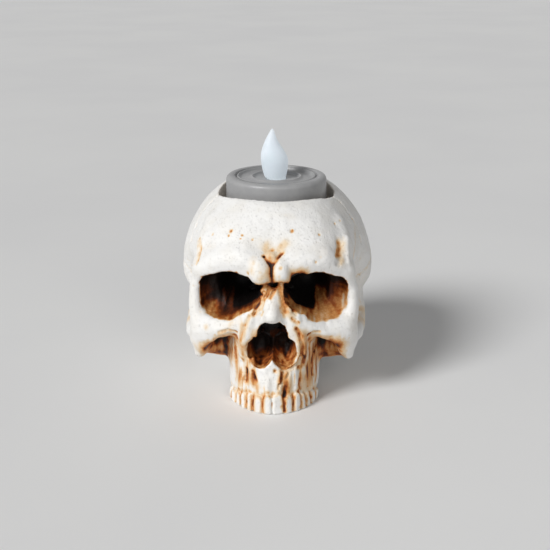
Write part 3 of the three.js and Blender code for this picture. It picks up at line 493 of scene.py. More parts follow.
# Stains without a mark: width in pixels, wash, points
STAINS = [
    [11, 0.13, (268, 246), (270, 256)],
    [8, 0.1, (285, 243), (279, 250)],
    [9, 0.05, (208, 246), (214, 247)],
    [7, 0.1, (199.5, 242), (200.5, 254)],
    [9, 0.08, (340.5, 241), (341, 252), (341.5, 265)],
    [5, 0.26, (317, 350), (316, 365), (315, 380)],
    [9, 0.08, (253, 260), (251, 272)],
    [8, 0.1, (260, 280), (268, 274)],
    [4, 0.24, (271.4, 262), (271.7, 270)],
    [4.6, 0.5, (271.7, 270), (272, 278), (272, 284)],
    [15, 0.06, (258, 265), (261, 276)],
    [10, 0.05, (272, 298), (275, 314)],
    [9, 0.12, (246, 358), (247, 378)],
    [9, 0.12, (282, 290), (284, 304), (290, 316)],
    [8, 0.08, (230, 325), (240, 320)],
    [5, 0.12, (206, 327)],
    [9, 0.27, (304, 336), (304, 362)],
    [10, 0.2, (236, 350), (237, 366), (240, 382)],
    [9, 0.14, (247, 345), (250, 360)],
    [13, 0.31, (313, 350), (310, 366), (308, 382)],
    [9, 0.26, (285, 374), (288, 388)],
    [8, 0.2, (249, 374), (256, 386)],
    [8, 0.14, (244, 326), (241, 345)],
    # Wide bands in the hollows under the cheekbones: wash and painted shade
    [11, 0.42, (207, 348), (215, 341), (226, 339.5)],
    [11, 0.42, (317, 342), (326, 340), (338, 345)],
    [12, 0.24, (212, 352), (222, 350), (232, 352)],
    [12, 0.3, (338, 352), (328, 350), (318, 356)],
    [7, 0.2, (259, 328), (254, 340)],
]
# Steps between two points of a mark, how far it strays in pixels, how much its width varies, how softly marks
# are carved and raised, and how long a pit is
MARK_STEPS = 3
MARK_STRAY = 0.25
MARK_WIDTH_STRAY = 0.28
GROOVE_BLEND = 0.5 * MM
RIDGE_BLEND = 1.3 * MM
PIT_LENGTH = 0.01 * MM


def seen_rod(grid, width, depth, pixels, raised=False):
    """A mark along pixels of the photograph: its points on the skull, and a rod sunk into it or raised."""
    pixels = smooth_rows(pixels, MARK_STEPS) if len(pixels) > 1 else np.array(pixels, float)
    points, rays = seen_points(grid, pixels + MARK_STRAY * seeded.uniform(-1, 1, pixels.shape))
    stray = 0 if raised else MARK_WIDTH_STRAY
    radius = width / PIXELS_PER_MM / 2 * MM * (1 + stray * seeded.uniform(-1, 1, len(points)))
    sunk = (radius - depth * MM) * (1 if raised else -1)
    shape = np.column_stack([points + rays * sunk[:, None], radius])
    if len(shape) == 1:
        shape = np.vstack([shape, shape + [0, 0, PIT_LENGTH, 0]])
    return points, shape


def marks(grid):
    """Raises and carves the marks, and returns their stains as points, radius and wash."""
    stains = []
    for width, height, *pixels in RIDGES:
        points, shape = seen_rod(grid, width, height, pixels, raised=True)
        grid.apply(JOIN, RIDGE_BLEND, rod(*shape))
    for width, depth, wash_and_shade, *pixels in GROOVES + PITS:
        points, shape = seen_rod(grid, width, depth, pixels)
        grid.apply(CUT, GROOVE_BLEND, rod(*shape))
        stains.append((points, shape[:, 3].mean(), wash_and_shade))
    for width, wash_and_shade, *pixels in STAINS:
        points, shape = seen_rod(grid, width, 0, pixels)
        stains.append((points, shape[:, 3].mean(), wash_and_shade))
    return stains


# Stains out of the photograph's sight: width in millimetres, wash, then points near the surface in percent
SIDE_STAINS = [
    [3, 0.13, (40, -22.5, 74), (40, -23, 66), (39.5, -22, 57)],
    [2, 0.08, (41, -22, 68), (43, -16, 74), (42, -9, 79)],
    [6, 0.2, (42, -8, 47), (40, -14, 45)],
    [5, 0.12, (40, -20, 40), (40, -10, 38)],
    [2.4, 0.07, (-40, -22.5, 74), (-40, -22.6, 66), (-39.5, -22, 58)],
    [5, 0.16, (-42, -8, 47), (-40, -14, 45)],
]

# Seams of the skull's bones: wash, then points near its surface in percent of its size; one lies along the
# middle, and both sides have the others
MIDDLE_SEAM = [0.13, (0, 26, 99), (0.6, 34, 95), (-0.5, 42, 86), (0, 47, 77)]
PAIRED_SEAMS = [
    [0.14, (0, 47, 77), (11, 46, 69), (22, 42, 60), (32, 34, 49), (38, 26, 38)],
    [0.06, (28, -6, 91), (37, -5, 80), (43, -7, 68)],
    [0.07, (45, -3, 50), (48, 6, 56), (47, 18, 54), (43, 27, 44)],
]
SKULL_MIDDLE = (0, 8, 45)
SEAM_CURVE, SIDE_STAIN_CURVE = 12, 6
SEAM_RADIUS = 0.42 * MM
SEAM_WIDTHS = (0.7, 1.15)
SEAM_DEPTH = 0.3 * MM
SEAM_BLEND = 0.2 * MM
SEAM_STEP = 0.55 * MM
SEAM_WAVER = 0.8 * MM
LEAST_WAVER = 0.3
SEAM_DRIFT = 1.6 * MM
SEAM_BEND = 5 * MM
SEAM_STAIN = 1.4
SEAM_PIECE = 16


def run_along(line):
    """Length of a line up to each of its points."""
    return np.concatenate([[0], np.cumsum(np.linalg.norm(np.diff(line, axis=0), axis=1))])


def placed(rows, steps):
    """A smooth line in metres through points given in shares."""
    return smooth_rows(rows, steps) * SHARE + [0, axis_y, 0]


def inwards(points):
    """Unit directions towards the skull's middle."""
    return unit(np.array(SKULL_MIDDLE) * SHARE + [0, axis_y, 0] - points)


def seams(grid):
    """Carves the zigzag seams and returns their stains."""
    rows = [MIDDLE_SEAM]
    rows += [[wash_and_shade, *[(hand * across, along, up) for across, along, up in line]]
             for wash_and_shade, *line in PAIRED_SEAMS for hand in (1, -1)]
    stains = []
    for wash_and_shade, *line in rows:
        line = placed(line, SEAM_CURVE)
        run = run_along(line)
        places = np.arange(0, run[-1], SEAM_STEP)
        line = np.stack([np.interp(places, run, line[:, k]) for k in range(3)], axis=1)
        rays = inwards(line)
        sideways = unit(np.cross(rays, np.gradient(line, axis=0)))
        wave = SEAM_WAVER * seeded.uniform(LEAST_WAVER, 1, len(line))
        wave *= np.where(np.arange(len(line)) % 2, 1, -1)
        wave += SEAM_DRIFT * noise(places / SEAM_BEND, line[:, 0] / SEAM_BEND, line[:, 2] / SEAM_BEND)
        points, rays = met_points(grid, line + sideways * wave[:, None], rays)
        radius = SEAM_RADIUS * seeded.uniform(*SEAM_WIDTHS, len(points))
        shape = np.column_stack([points - rays * (SEAM_RADIUS - SEAM_DEPTH), radius])
        for piece in np.array_split(shape, max(1, len(shape) // SEAM_PIECE)):
            grid.apply(CUT, SEAM_BLEND, rod(*piece))
        stains.append((points, SEAM_RADIUS * SEAM_STAIN, wash_and_shade))
    return stains


def side_stains(grid):
    """Stains on the sides of the skull that the photograph doesn't show."""
    stains = []
    for width, wash_and_shade, *line in SIDE_STAINS:
        line = placed(line, SIDE_STAIN_CURVE)
        stains.append((met_points(grid, line, inwards(line))[0], width / 2 * MM, wash_and_shade))
    return stains


def smooth_rows(rows, steps):
    """Rows of a table with more rows laid between them on a smooth curve."""
    rows = np.array(rows, float)
    padded = np.vstack([2 * rows[0] - rows[1], rows, 2 * rows[-1] - rows[-2]])
    out = []
    for before, start, end, after in zip(padded, padded[1:], padded[2:], padded[3:]):
        for t in np.arange(steps) / steps:
            out.append(0.5 * (2 * start + (end - before) * t
                              + (2 * before - 5 * start + 4 * end - after) * t ** 2
                              + (3 * start - before - 3 * end + after) * t ** 3))
    return np.vstack([out, rows[-1]])


def squared_ball(centre, half, turn):
    """A tooth's squared ball, turned about the upright axis."""
    def distance(x, y, z):
        u = (x - centre[0]) * math.cos(turn) + (y - centre[1]) * math.sin(turn)
        v = (y - centre[1]) * math.cos(turn) - (x - centre[0]) * math.sin(turn)
        parts = [np.abs(part / size) ** TOOTH_POWER for part, size in zip((u, v, z - centre[2]), half)]
        return (sum(parts) ** (1 / TOOTH_POWER) - 1) * half[:2].min()

    return centre - half.max(), centre + half.max(), distance


def dental_arch():
    """Points along one half of the dental arch, from its middle outwards."""
    across = ARCH_ACROSS * PERCENT * SKULL_SIZE[0]
    along = ARCH_ALONG * PERCENT * SKULL_SIZE[1]
    middle = ARCH_MIDDLE * PERCENT * SKULL_SIZE[1] + axis_y
    angles = np.linspace(0, math.pi / 2, ARCH_POINTS)
    return np.stack([across * np.sin(angles), middle - along * np.cos(angles)], axis=1)


def add_root(grid, centre, low, high, half_width):
    """The ridge of a tooth's root in the jaw."""
    radius = min(ROOT_RADIUS, half_width * ROOT_FILL)
    foot, top = np.array([*centre[:2], low]), np.array([*centre[:2], high])
    grid.apply(JOIN, ROOT_BLEND, rod([*foot, radius], [*(foot + top) / 2, radius], [*top, radius / 2]))


def tooth_grooves(face, across, hand, crown, outward, wide, flat):
    """Rods along a tooth's gum and down its outer edge, wider towards the gum, each with its wash."""
    gum = [[*(face + across * share)[:2], crown * SHARE[2] + (1 - share * share) * GUM_ARCH, GUM_GROOVE]
           for share in (-1, -0.5, 0, 0.5, 1)]
    edge = face + across * hand - outward * GUM_GROOVE
    side = [[*edge[:2], share * crown * SHARE[2], GUM_GROOVE * size]
            for share, size in ((0.12, 1), (0.6, 1.3 + 0.5 * wide), (1, 1.3))]
    return [(gum, GUM_WASH + GUM_WASH_STRAY * flat), (side, EDGE_WASH + EDGE_WASH_STRAY * wide)]


def add_teeth(grid):
    """Teeth on both halves of the dental arch, each a little off true; returns the stains between them."""
    arch = dental_arch()
    run = run_along(arch)
    grooves = []
    for hand, widths in tooth_width_shares.items():
        start = 0
        for width, (crown, thickness, root) in zip(widths, tooth_shares):
            place = np.searchsorted(run, (start + width / 2) * PERCENT * run[-1])
            turn = hand * math.atan2(*(arch[place] - arch[place - 1])[::-1])
            wide, flat, tall, forward = seeded.uniform(-1, 1, 4)
            half = np.array([width / 2 * PERCENT * run[-1] * (TOOTH_FILL + WIDTH_STRAY * wide),
                             thickness * PERCENT * SKULL_SIZE[1] * (1 + THICKNESS_STRAY * flat),
                             (crown / 2 + TOOTH_ROOT_SHARE) * SHARE[2] * (1 + HEIGHT_STRAY * tall)])
            centre = np.array([hand * arch[place, 0], arch[place, 1] - FORWARD_STRAY * forward,
                               (crown / 2 - TOOTH_ROOT_SHARE) * SHARE[2]])
            grid.apply(JOIN, TOOTH_BLEND, squared_ball(centre, half, turn + TURN_STRAY * tall))
            tangent = np.array([math.cos(turn), math.sin(turn), 0])
            outward = np.array([math.sin(turn), -math.cos(turn), 0])
            add_root(grid, centre - outward * ROOT_SINK * (1 + wide), crown * SHARE[2] + ROOT_RADIUS,
                     (crown + root) * SHARE[2], half[0])
            face = centre + outward * (half[1] + GUM_GROOVE / 3)
            grooves += tooth_grooves(face, tangent * half[0], hand, crown, outward, wide, flat)
            start += width
    stains = []
    for groove, wash_and_shade in grooves:
        grid.apply(CUT, GUM_BLEND, rod(*groove))
        stains.append((np.array(groove)[:, :3], GUM_GROOVE * GUM_STAIN, wash_and_shade))
    return stains


# Fibres in the bone: region as a ball in shares, how deep in millimetres, and the grain's size in
# millimetres across, along and up
FIBRES = [
    [(21, -33, 52, 15, 13, 12), 0.42, (1.2, 6, 6)],
    [(21, -34, 22, 12, 14, 14), 0.34, (1.3, 5, 7)],
    [(0, -40, 18, 24, 10, 10), 0.3, (1.3, 1.3, 7)],
    [(10, -40, 46, 7, 8, 10), 0.2, (1.2, 3, 5)],
    [(5, -36, 28, 9, 8, 9), 0.3, (1.1, 4, 5)],
]
# Lumps of the casting: size and depth in millimetres
LUMPS = [[9, 0.2], [3.4, 0.11], [1.4, 0.09]]
# How near its surface the field is changed, and how far out fibres start to fade
SKIN = 1.2 * MM
FIBRE_FADE = 1.4


def nearness(place, region, most=1):
    """The most in the middle of a region, falling to 0 past its edge, and never over 1. Places are in
    millimetres, and regions are balls in shares."""
    (x, y, z), (cx, cy, cz, rx, ry, rz) = place, region
    away = ((np.abs(x) / share_mm[0] - cx) / rx) ** 2
    away += (((y - axis_y / MM) / share_mm[1] - cy) / ry) ** 2 + ((z / share_mm[2] - cz) / rz) ** 2
    return np.clip(most - away, 0, 1)


def roughen(grid):
    """Adds lumps, grain and fibres to the field near its surface."""
    skin = np.nonzero(np.abs(grid.field) < SKIN)
    x, y, z = [line[index] / MM for line, index in zip(grid.lines, skin)]
    change = np.zeros(len(x), np.float32)
    for size, depth in LUMPS:
        change += depth * noise(x / size, y / size, z / size)
    for region, depth, grain in FIBRES:
        near = nearness((x, y, z), region, FIBRE_FADE)
        change += depth * near * noise(x / grain[0], y / grain[1], z / grain[2])
    grid.field[skin] += change * MM


def surface_nets(grid):
    """Vertices and quads of the surface of the field."""
    inside = grid.field < 0
    cells = tuple(count - 1 for count in inside.shape)
    total = np.zeros((*cells, 3), np.float32)
    count = np.zeros(cells, np.uint8)
    crossings = []
    for axis in range(3):
        near, far = [slice(None)] * 3, [slice(None)] * 3
        near[axis], far[axis] = slice(0, -1), slice(1, None)
        crossed = inside[tuple(near)] != inside[tuple(far)]
        index = np.argwhere(crossed)
        first, last = grid.field[tuple(near)][crossed], grid.field[tuple(far)][crossed]
        crossings.append((index, first < 0))
        place = index.astype(np.float32)
        place[:, axis] += first / (first - last)
        others = [k for k in range(3) if k != axis]
        for back in np.ndindex(2, 2):
            cell = index.copy()
            cell[:, others] -= back
            good = (cell >= 0).all(axis=1) & (cell < cells).all(axis=1)
            key = tuple(cell[good].T)
            np.add.at(total, key, place[good])
            np.add.at(count, key, 1)
    used = count > 0
    number = np.full(cells, -1, np.int64)
    number[used] = np.arange(used.sum())
    points = total[used] / count[used][:, None] * grid.spacing + grid.low
    quads = []
    for axis, (index, first_inside) in enumerate(crossings):
        u, v = (axis + 1) % 3, (axis + 2) % 3
        good = (index[:, [u, v]] > 0).all(axis=1) & (index[:, u] < cells[u]) & (index[:, v] < cells[v])
        index, first_inside = index[good], first_inside[good]
        corners = []
        for back in ((1, 1), (0, 1), (0, 0), (1, 0)):
            cell = index.copy()
            cell[:, [u, v]] -= back
            corners.append(number[tuple(cell.T)])
        quad = np.stack(corners, axis=1)
        quad[~first_inside] = quad[~first_inside][:, ::-1]
        quads.append(quad)
    return points, np.concatenate(quads)


def linked(name, data):
    piece = bpy.data.objects.new(name, data)
    bpy.context.scene.collection.objects.link(piece)
    return piece


def mesh_object(name, points, faces):
    """A smooth object from an array of points and one of faces with alike corner counts."""
    mesh = bpy.data.meshes.new(name)
    corners = faces.shape[1]
    mesh.vertices.add(len(points))
    mesh.vertices.foreach_set("co", points.astype(np.float32).ravel())
    mesh.loops.add(faces.size)
    mesh.loops.foreach_set("vertex_index", faces.astype(np.int32).ravel())
    mesh.polygons.add(len(faces))
    mesh.polygons.foreach_set("loop_start", np.arange(0, faces.size, corners, dtype=np.int32))
    mesh.update(calc_edges=True)
    mesh.validate()
    mesh.shade_smooth()
    return linked(name, mesh)


def thin(piece, most):
    """Merges vertices where the surface is flattest until few enough triangles are left."""
    faces = sum(len(polygon.vertices) - 2 for polygon in piece.data.polygons)
    if faces <= most:
        return
    decimate = piece.modifiers.new("thin", "DECIMATE")
    decimate.ratio = most / faces
    evaluated = piece.evaluated_get(bpy.context.evaluated_depsgraph_get())
    mesh = bpy.data.meshes.new_from_object(evaluated)
    piece.modifiers.clear()
    piece.data = mesh
    mesh.shade_smooth()


# Stains: the wash of their core and of the halo round it, how far each reaches in radii, how far a stain is
# worked out, and how much of the weaker one adds to the stronger where two lie on each other
CORE, CORE_REACH = 0.78, 1.1
HALO, HALO_REACH = 0.24, 2.4
STAIN_REACH = 4
STAIN_OVERLAP = 0.3


def stain_values(points, stains):
    """How strongly each point is stained by the marks near it."""
    total = np.zeros(len(points), np.float32)
    for line, radius, wash_and_shade in stains:
        reach = STAIN_REACH * radius
        close = ((points > line.min(0) - reach) & (points < line.max(0) + reach)).all(axis=1)
        here = points[close]
        nearest = np.full(len(here), np.inf)
        for start, end in zip(line, line[1:] if len(line) > 1 else line):
            step = end - start
            along = np.clip((here - start) @ step / max(step @ step, TINY ** 2), 0, 1)
            nearest = np.minimum(nearest, np.linalg.norm(here - start - along[:, None] * step, axis=1))
        part = nearest / radius
        here = wash_and_shade * (CORE * np.exp(-(part / CORE_REACH) ** 2) + HALO * np.exp(-(part / HALO_REACH) ** 2))
        total[close] = np.maximum(total[close], here) + STAIN_OVERLAP * np.minimum(total[close], here)
    return total


def eased(value, low, high):
    """0 below low, 1 above high, and a soft slope between."""
    part = np.clip((value - low) / (high - low), 0, 1)
    return part * part * (3 - 2 * part)


# Wash in cracks and hollows: radius looked round in millimetres, wash, and the shares of bone within that
# radius at which it starts and is full
CREVICES = [
    [1.1, 0.55, 0.54, 0.76],
    [2.6, 0.3, 0.58, 0.84],
    [6, 0.15, 0.62, 0.85],
]
CREVICE_STRAY = 0.03
# Wash and painted shade in sockets and nose: wash everywhere, painted shade on the left, wash in the nose
# and in streaks, and painted shade at depth and under roofs
OPENING_WASH, LEFT_SHADE, NOSE_WASH = 0.26, 0.04, 0.02
STREAK_WASH, DEPTH_SHADE, ROOF_SHADE = 0.17, 0.66, 0.6
# Places with a wash of their own, as balls in shares; under the cheeks this is painted shade as well as wash
CHEEK_UNDERSIDE = (21, -30, 24, 16, 20, 16)
JAW_SIDE = (10, -42, 17, 18, 16, 11)
EAR = (42, 2, 28, 16, 26, 14)
NAPE = (0, 42, 22, 40, 20, 20)
EVEN_WASH = 0.07


def opening_wash_and_shade(grid, points, normals, grain, upright):
    """How far inside the sockets and the nose each point lies, from 0 to 1, and the wash with painted light
    and
    shade there: streaks of wash from the rim inwards, painted shade darkest at the back, under the roof and in
    the left socket, and painted light on floors and on the right socket's outer wall, where light falls."""
    x, y, z = (points / MM).T
    across, up = x / share_mm[0], z / share_mm[2]
    opened = grid.sample(grid.opened, points) / MM
    depth = (opened - grid.sample(grid.mass, points) / MM) * eased(opened, -5, -3)
    turn = np.arctan2(z - 54 * share_mm[2], np.abs(x) - 20 * share_mm[0])
    streak = noise(11 * np.cos(turn), 11 * np.sin(turn), depth / 9 + np.sign(x) * 5) * 0.7 + 0.3 * upright
    streak = np.where(np.abs(across) < 9, upright, streak)
    left = 1 - eased(across, -2, 4)
    right = 1 - left
    in_socket = eased(up, 36, 42)
    # Floors facing up get less brown: painted light where light falls on them
    floor = eased(normals[:, 2], 0.1, 0.7) * eased(12 - depth, 0, 4)
    # Painted light on the right socket's outer wall, which faces the light
    painted_wall_light = right * eased(0.65 * (across - 20) - (up - 45), -2, 7) * eased(15 - depth, 0, 7) * in_socket
    # Painted shade, deepening towards the back, stronger in the left socket, which faces away from the light,
    # and weaker on floors and on the lit wall
    painted_shade = eased(depth, 1, 7) * left + eased(depth, 2, 9) * right
    painted_shade *= (1 - 0.75 * painted_wall_light) * (1 - 0.7 * eased(up, 30, 22))
    painted_shade *= 1 - (0.45 + 0.4 * right * in_socket) * floor
    painted_shade += (0.5 * left * (1 - 0.9 * floor) + 0.45 * right * (1 - painted_wall_light) * (1 - floor)) * in_socket
    # Painted shade under the roofs of the openings, on faces turned down
    roof_shade = eased(-normals[:, 2], 0.05, 0.5)
    # Wash everywhere in the openings, with painted shade added on the left
    base = OPENING_WASH + LEFT_SHADE * left + NOSE_WASH * (1 - in_socket)
    inside = eased(depth + 0.25 * grain, 0.1, 0.7)
    return inside, inside * (base + STREAK_WASH * streak + DEPTH_SHADE * painted_shade + ROOF_SHADE * roof_shade)


def even_share(points):
    """1 on the recess's walls and floor and where the skull stands, whose few large faces would stretch a
    pattern, and 0 elsewhere."""
    x, y, z = (points / MM).T
    wall = recess_radius / MM
    recess = eased(np.hypot(x, y - axis_y / MM), wall + 1.2, wall + 0.1)
    recess *= eased(z, recess_floor / MM - 1, recess_floor / MM - 0.2)
    return np.maximum(recess, eased(-z, -0.5, -0.1))


def wash_and_shade_values(grid, points, normals, stains):
    """How much brown each point holds: wash in openings, cracks and hollows, at some places and at the stains,
    with painted shade deep in the openings, under their roofs and under the cheeks, and less brown where
    painted light falls.
    """
    x, y, z = (points / MM).T
    broad, grain = noise(x / 6, y / 6, z / 6), noise(x / 1.4, y / 1.4, z / 1.4)
    upright = noise(x / 0.9, y / 0.9, z / 7)
    inside, wash_and_shade = opening_wash_and_shade(grid, points, normals, grain, upright)
    held = (grid.field < 0).astype(np.float32)
    crevices = 0
    for (radius, level, low, high), ripple in zip(CREVICES, (grain, broad, 0)):
        around = grid.sample(blurred(held, radius * MM, grid.spacing), points)
        crevices = crevices + level * eased(around + CREVICE_STRAY * ripple, low, high)
    wash_and_shade += (1 - 0.75 * inside) * crevices
    # Painted shade on the faces turned down under the cheekbones, with upright streaks of wash
    under_shade_and_streaks = 0.42 * eased(-normals[:, 2], 0.1, 0.7) + 0.24 * eased(upright, -0.2, 0.8)
    wash_and_shade += nearness((x, y, z), CHEEK_UNDERSIDE) * under_shade_and_streaks
    wash_and_shade += nearness((x, y, z), JAW_SIDE) * 0.2 * eased(upright + 0.5 * broad, 0, 0.8)
    cloud = 0.7 * noise((x + 0.7 * y) / 7, (y - 0.6 * z) / 7, (z + 0.5 * x) / 7)
    cloud += 0.4 * noise((x - 0.5 * y) / 2.5, (y + 0.8 * z) / 2.5, (z - 0.6 * x) / 2.5) + 0.15 * grain
    cloud = eased(cloud, -0.3, 0.8)
    wash_and_shade += nearness((x, y, z), EAR) * (0.05 + 0.13 * cloud)
    wash_and_shade += nearness((x, y, z), NAPE) * (0.04 + 0.12 * cloud)
    wash_and_shade += stain_values(points + 0.3 * MM * grain[:, None], stains) * (0.9 + 0.35 * upright)
    even = even_share(points)
    return (wash_and_shade + 0.05 * eased(broad, 0, 1)) * (1 - even) + EVEN_WASH * even


def make_skull():
    margin = 3 * MM
    low = np.array(cad_low) - margin
    high = np.array([max(-cad_low.x, cad_high.x), cad_high.y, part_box("skull_body")[1].z]) + margin
    grid = Grid(low, high, SPACING)
    stains = add_teeth(grid) + marks(grid) + seams(grid) + side_stains(grid)
    roughen(grid)
    recess = np.maximum(np.hypot(grid.x, grid.y - axis_y) - recess_radius, recess_floor - grid.z)
    grid.field = -smooth_min(-grid.field, recess.astype(np.float32), RECESS_EDGE)
    grid.field = np.maximum(grid.field, -grid.z.astype(np.float32))
    skull = mesh_object("skull", *surface_nets(grid))
    thin(skull, MOST_FACES)
    mesh = skull.data
    points, normals = [np.zeros(len(mesh.vertices) * 3, np.float32) for _ in range(2)]
    mesh.vertices.foreach_get("co", points)
    mesh.vertex_normals.foreach_get("vector", normals)
    # Wash with painted shade and painted light, kept on each vertex for the bone's material
    values = wash_and_shade_values(grid, points.reshape(-1, 3), normals.reshape(-1, 3), stains)
    mesh.attributes.new("wash_and_shade", "FLOAT", "POINT").data.foreach_set("value", values.astype(np.float32))
    return skull


# Terraces of the cup's sunken top, from its rim inwards: radius in percent of the cup's, and height
# above the pool in percent of its depth
terrace_shares = [
    [82.5, 100], [81.5, 48], [80, 40], [77.5, 88], [75.5, 84], [73, 24], [69, 10], [62, 14], [54, 30],
    [49.5, 72], [47, 68], [44, 8], [38, 0], [28, 0], [21, 0],
]
CUP_WALL = 1.9 * MM
CUP_TOP_WALL = 1.3 * MM
CUP_EDGE_RADIUS = 1.7 * MM
POOL_DEPTH = 1.4 * MM
SEAT = 0.6 * MM
CUP_SIDES = 160
WALL_RINGS = 7
TERRACE_STEPS = 4
ROUNDING = np.linspace(0, math.pi / 2, 9)
CLEARANCE = 0.3 * MM
PLATE_THICKNESS = 1.5 * MM
BORE_RADIUS = 2.8 * MM
FLAME_WALL = 0.9 * MM
FLAME_NECK = BORE_RADIUS + FLAME_WALL


def ringed(rings, sides, closed):
    """Points and quads through rings round the tealight's axis, each with its shift, half width, half depth
    and height; where closed, the last is joined to the first."""
    angles = np.linspace(0, 2 * math.pi, sides, endpoint=False)
    shift, across, deep, height = np.array(rings, float).T[:, :, None]
    places = shift + across * np.cos(angles), axis_y + deep * np.sin(angles), height
    points = np.stack(np.broadcast_arrays(*places), axis=-1)
    index = np.arange(len(rings) * sides).reshape(len(rings), sides)
    up = np.roll(index, -1, axis=0)
    quads = np.stack([index, np.roll(index, -1, axis=1), np.roll(up, -1, axis=1), up], axis=-1)
    return points.reshape(-1, 3), (quads if closed else quads[:-1]).reshape(-1, 4)


def make_cup():
    """The tealight's cup: a closed section turned about its axis."""
    pool = cup_height - POOL_DEPTH
    hole = FLAME_NECK + CLEARANCE
    plate_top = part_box("base_plate")[0].z - recess_floor + PLATE_THICKNESS + CLEARANCE
    inner = cup_radius - CUP_WALL
    wall = [(cup_radius, height)
            for height in np.linspace(0, cup_height - CUP_EDGE_RADIUS, WALL_RINGS, endpoint=False)]
    edge = [(cup_radius - CUP_EDGE_RADIUS + CUP_EDGE_RADIUS * math.cos(turn),
             cup_height - CUP_EDGE_RADIUS + CUP_EDGE_RADIUS * math.sin(turn)) for turn in ROUNDING]
    top = [(radius * PERCENT * cup_radius, pool + height * PERCENT * POOL_DEPTH)
           for radius, height in smooth_rows(terrace_shares, TERRACE_STEPS)]
    section = [
        (inner + SEAT, 0), *wall, *edge, *top, (hole, pool - CUP_TOP_WALL), (inner, pool - CUP_TOP_WALL),
        (inner, plate_top), (inner + SEAT, plate_top),
    ]
    rings = [(0, radius, radius, recess_floor + height) for radius, height in section]
    return mesh_object("candle_cup", *ringed(rings, CUP_SIDES, closed=True))


# Flame, from its neck to its tip: height in percent of its length, width and lean in percent of its width
flame_shares = [
    [3, 78, -4], [9, 85, -4.5], [18, 93, -5], [32, 100, -6], [40, 99.5, -7.5], [47, 95, -9.5],
    [57, 82, -13], [65, 67, -16], [74, 50, -18], [81, 38, -18], [88, 26.5, -17], [94, 17, -15.5],
    [97.6, 10.5, -15], [99.4, 5, -15], [100, 0.8, -15],
]
FLAME_DEPTH_SHARE = 90
FLAME_LENGTH = 18.8 * MM
FLAME_WIDTH = 10.2 * MM
FLANGE_THICKNESS = 1.2 * MM
FLAME_SIDES = 64
FLAME_STEPS = 5
# Middle of the bore's rounded end, measured down from the diode's top, and the radius that it ends in
BORE_DROP = 2.5 * MM
BORE_TIP = 0.02 * MM
led_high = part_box("led")[1]


def make_flame():
    """The leaning flame with its neck and flange, hollow round the diode."""
    pool = recess_floor + cup_height - POOL_DEPTH
    flange_radius = (flame_high.x - flame_low.x) / 2
    flange_top = flame_low.z + FLANGE_THICKNESS
    bore = [(max(BORE_RADIUS * math.sin(turn), BORE_TIP),
             led_high.z - BORE_DROP + BORE_RADIUS * math.cos(turn)) for turn in ROUNDING]
    rings = [(0, radius, radius, height) for radius, height in (
        *bore,
        (BORE_RADIUS, flame_low.z),
        (flange_radius, flame_low.z),
        (flange_radius, flange_top),
        (FLAME_NECK, flange_top),
        (FLAME_NECK, pool),
    )]
    rings += [(lean * PERCENT * FLAME_WIDTH,
               width * PERCENT * FLAME_WIDTH / 2,
               width * PERCENT * FLAME_DEPTH_SHARE * PERCENT * FLAME_WIDTH / 2,
               pool + up * PERCENT * FLAME_LENGTH)
              for up, width, lean in smooth_rows(flame_shares, FLAME_STEPS)]
    points, quads = ringed(rings, FLAME_SIDES, closed=False)
    caps = [list(range(FLAME_SIDES))[::-1], list(range(len(points) - FLAME_SIDES, len(points)))]
    mesh = bpy.data.meshes.new("flame")
    mesh.from_pydata(points.tolist(), [], quads.tolist() + caps)
    mesh.update()
    mesh.shade_smooth()
    return linked("flame", mesh)


class Nodes:
    """Short ways to add and link the shader nodes of a material or a world."""

    def __init__(self, owner):
        self.owner = owner
        owner.use_nodes = True
        self.tree = owner.node_tree

    def put(self, target, value):
        if isinstance(value, bpy.types.NodeSocket):
            self.tree.links.new(value, target)
        else:
            target.default_value = value

    def feed(self, node, **inputs):
        for key, value in inputs.items():
            self.put(node.inputs[key.replace("_", " ")], value)

    def add(self, kind, *inputs, output=0, **settings):
        """Adds a node with inputs in order, None leaving one as it is, and returns one of its outputs."""
        node = self.tree.nodes.new("ShaderNode" + kind)
        for key, value in settings.items():
            setattr(node, key, value)
        for socket, value in zip(node.inputs, inputs):
            if value is not None:
                self.put(socket, value)
        return node.outputs[output]

    def place(self):
        return self.add("TexCoord", output="Object")

    def noise(self, scale, detail, place=None):
        return self.add("TexNoise", place or self.place(), None, scale, detail)

    def maths(self, operation, first, second, clamp=False):
        return self.add("Math", first, second, operation=operation, use_clamp=clamp)

    def ramp(self, factor, stops):
        """A row of colours; the first stands at 0 and the last at 1."""
        node = self.tree.nodes.new("ShaderNodeValToRGB")
        for position, colour in stops[1:-1]:
            node.color_ramp.elements.new(position)
        for element, (position, colour) in zip(node.color_ramp.elements, stops):
            element.color = (*colour, 1)
        self.put(node.inputs[0], factor)
        return node.outputs[0]

    def span(self, value, low, high, to_low=0, to_high=1):
        return self.add("MapRange", value, low, high, to_low, to_high, interpolation_type="SMOOTHSTEP")

    def patches(self, scale, detail, low=0, high=1):
        """A value that wanders between two levels."""
        return self.span(self.noise(scale, detail), 0.3, 0.7, low, high)

    def mix(self, factor, *colours):
        node = self.tree.nodes.new("ShaderNodeMix")
        node.data_type = "RGBA"
        self.put(node.inputs[0], factor)
        for socket, value in zip((node.inputs[6], node.inputs[7]), colours):
            self.put(socket, value if isinstance(value, bpy.types.NodeSocket) else (*value, 1))
        return node.outputs[2]

    def finish(self, colour, roughness, *relief, **inputs):
        """Feeds the surface's shader and returns the material; relief is height, strength and distance."""
        if relief:
            bump = self.tree.nodes.new("ShaderNodeBump")
            self.feed(bump, **dict(zip(("Height", "Strength", "Distance"), relief)))
            inputs["Normal"] = bump.outputs[0]
        self.feed(self.tree.nodes["Principled BSDF"], Base_Color=colour, Roughness=roughness, **inputs)
        return self.owner


def new_material(name):
    return Nodes(bpy.data.materials.new(name))


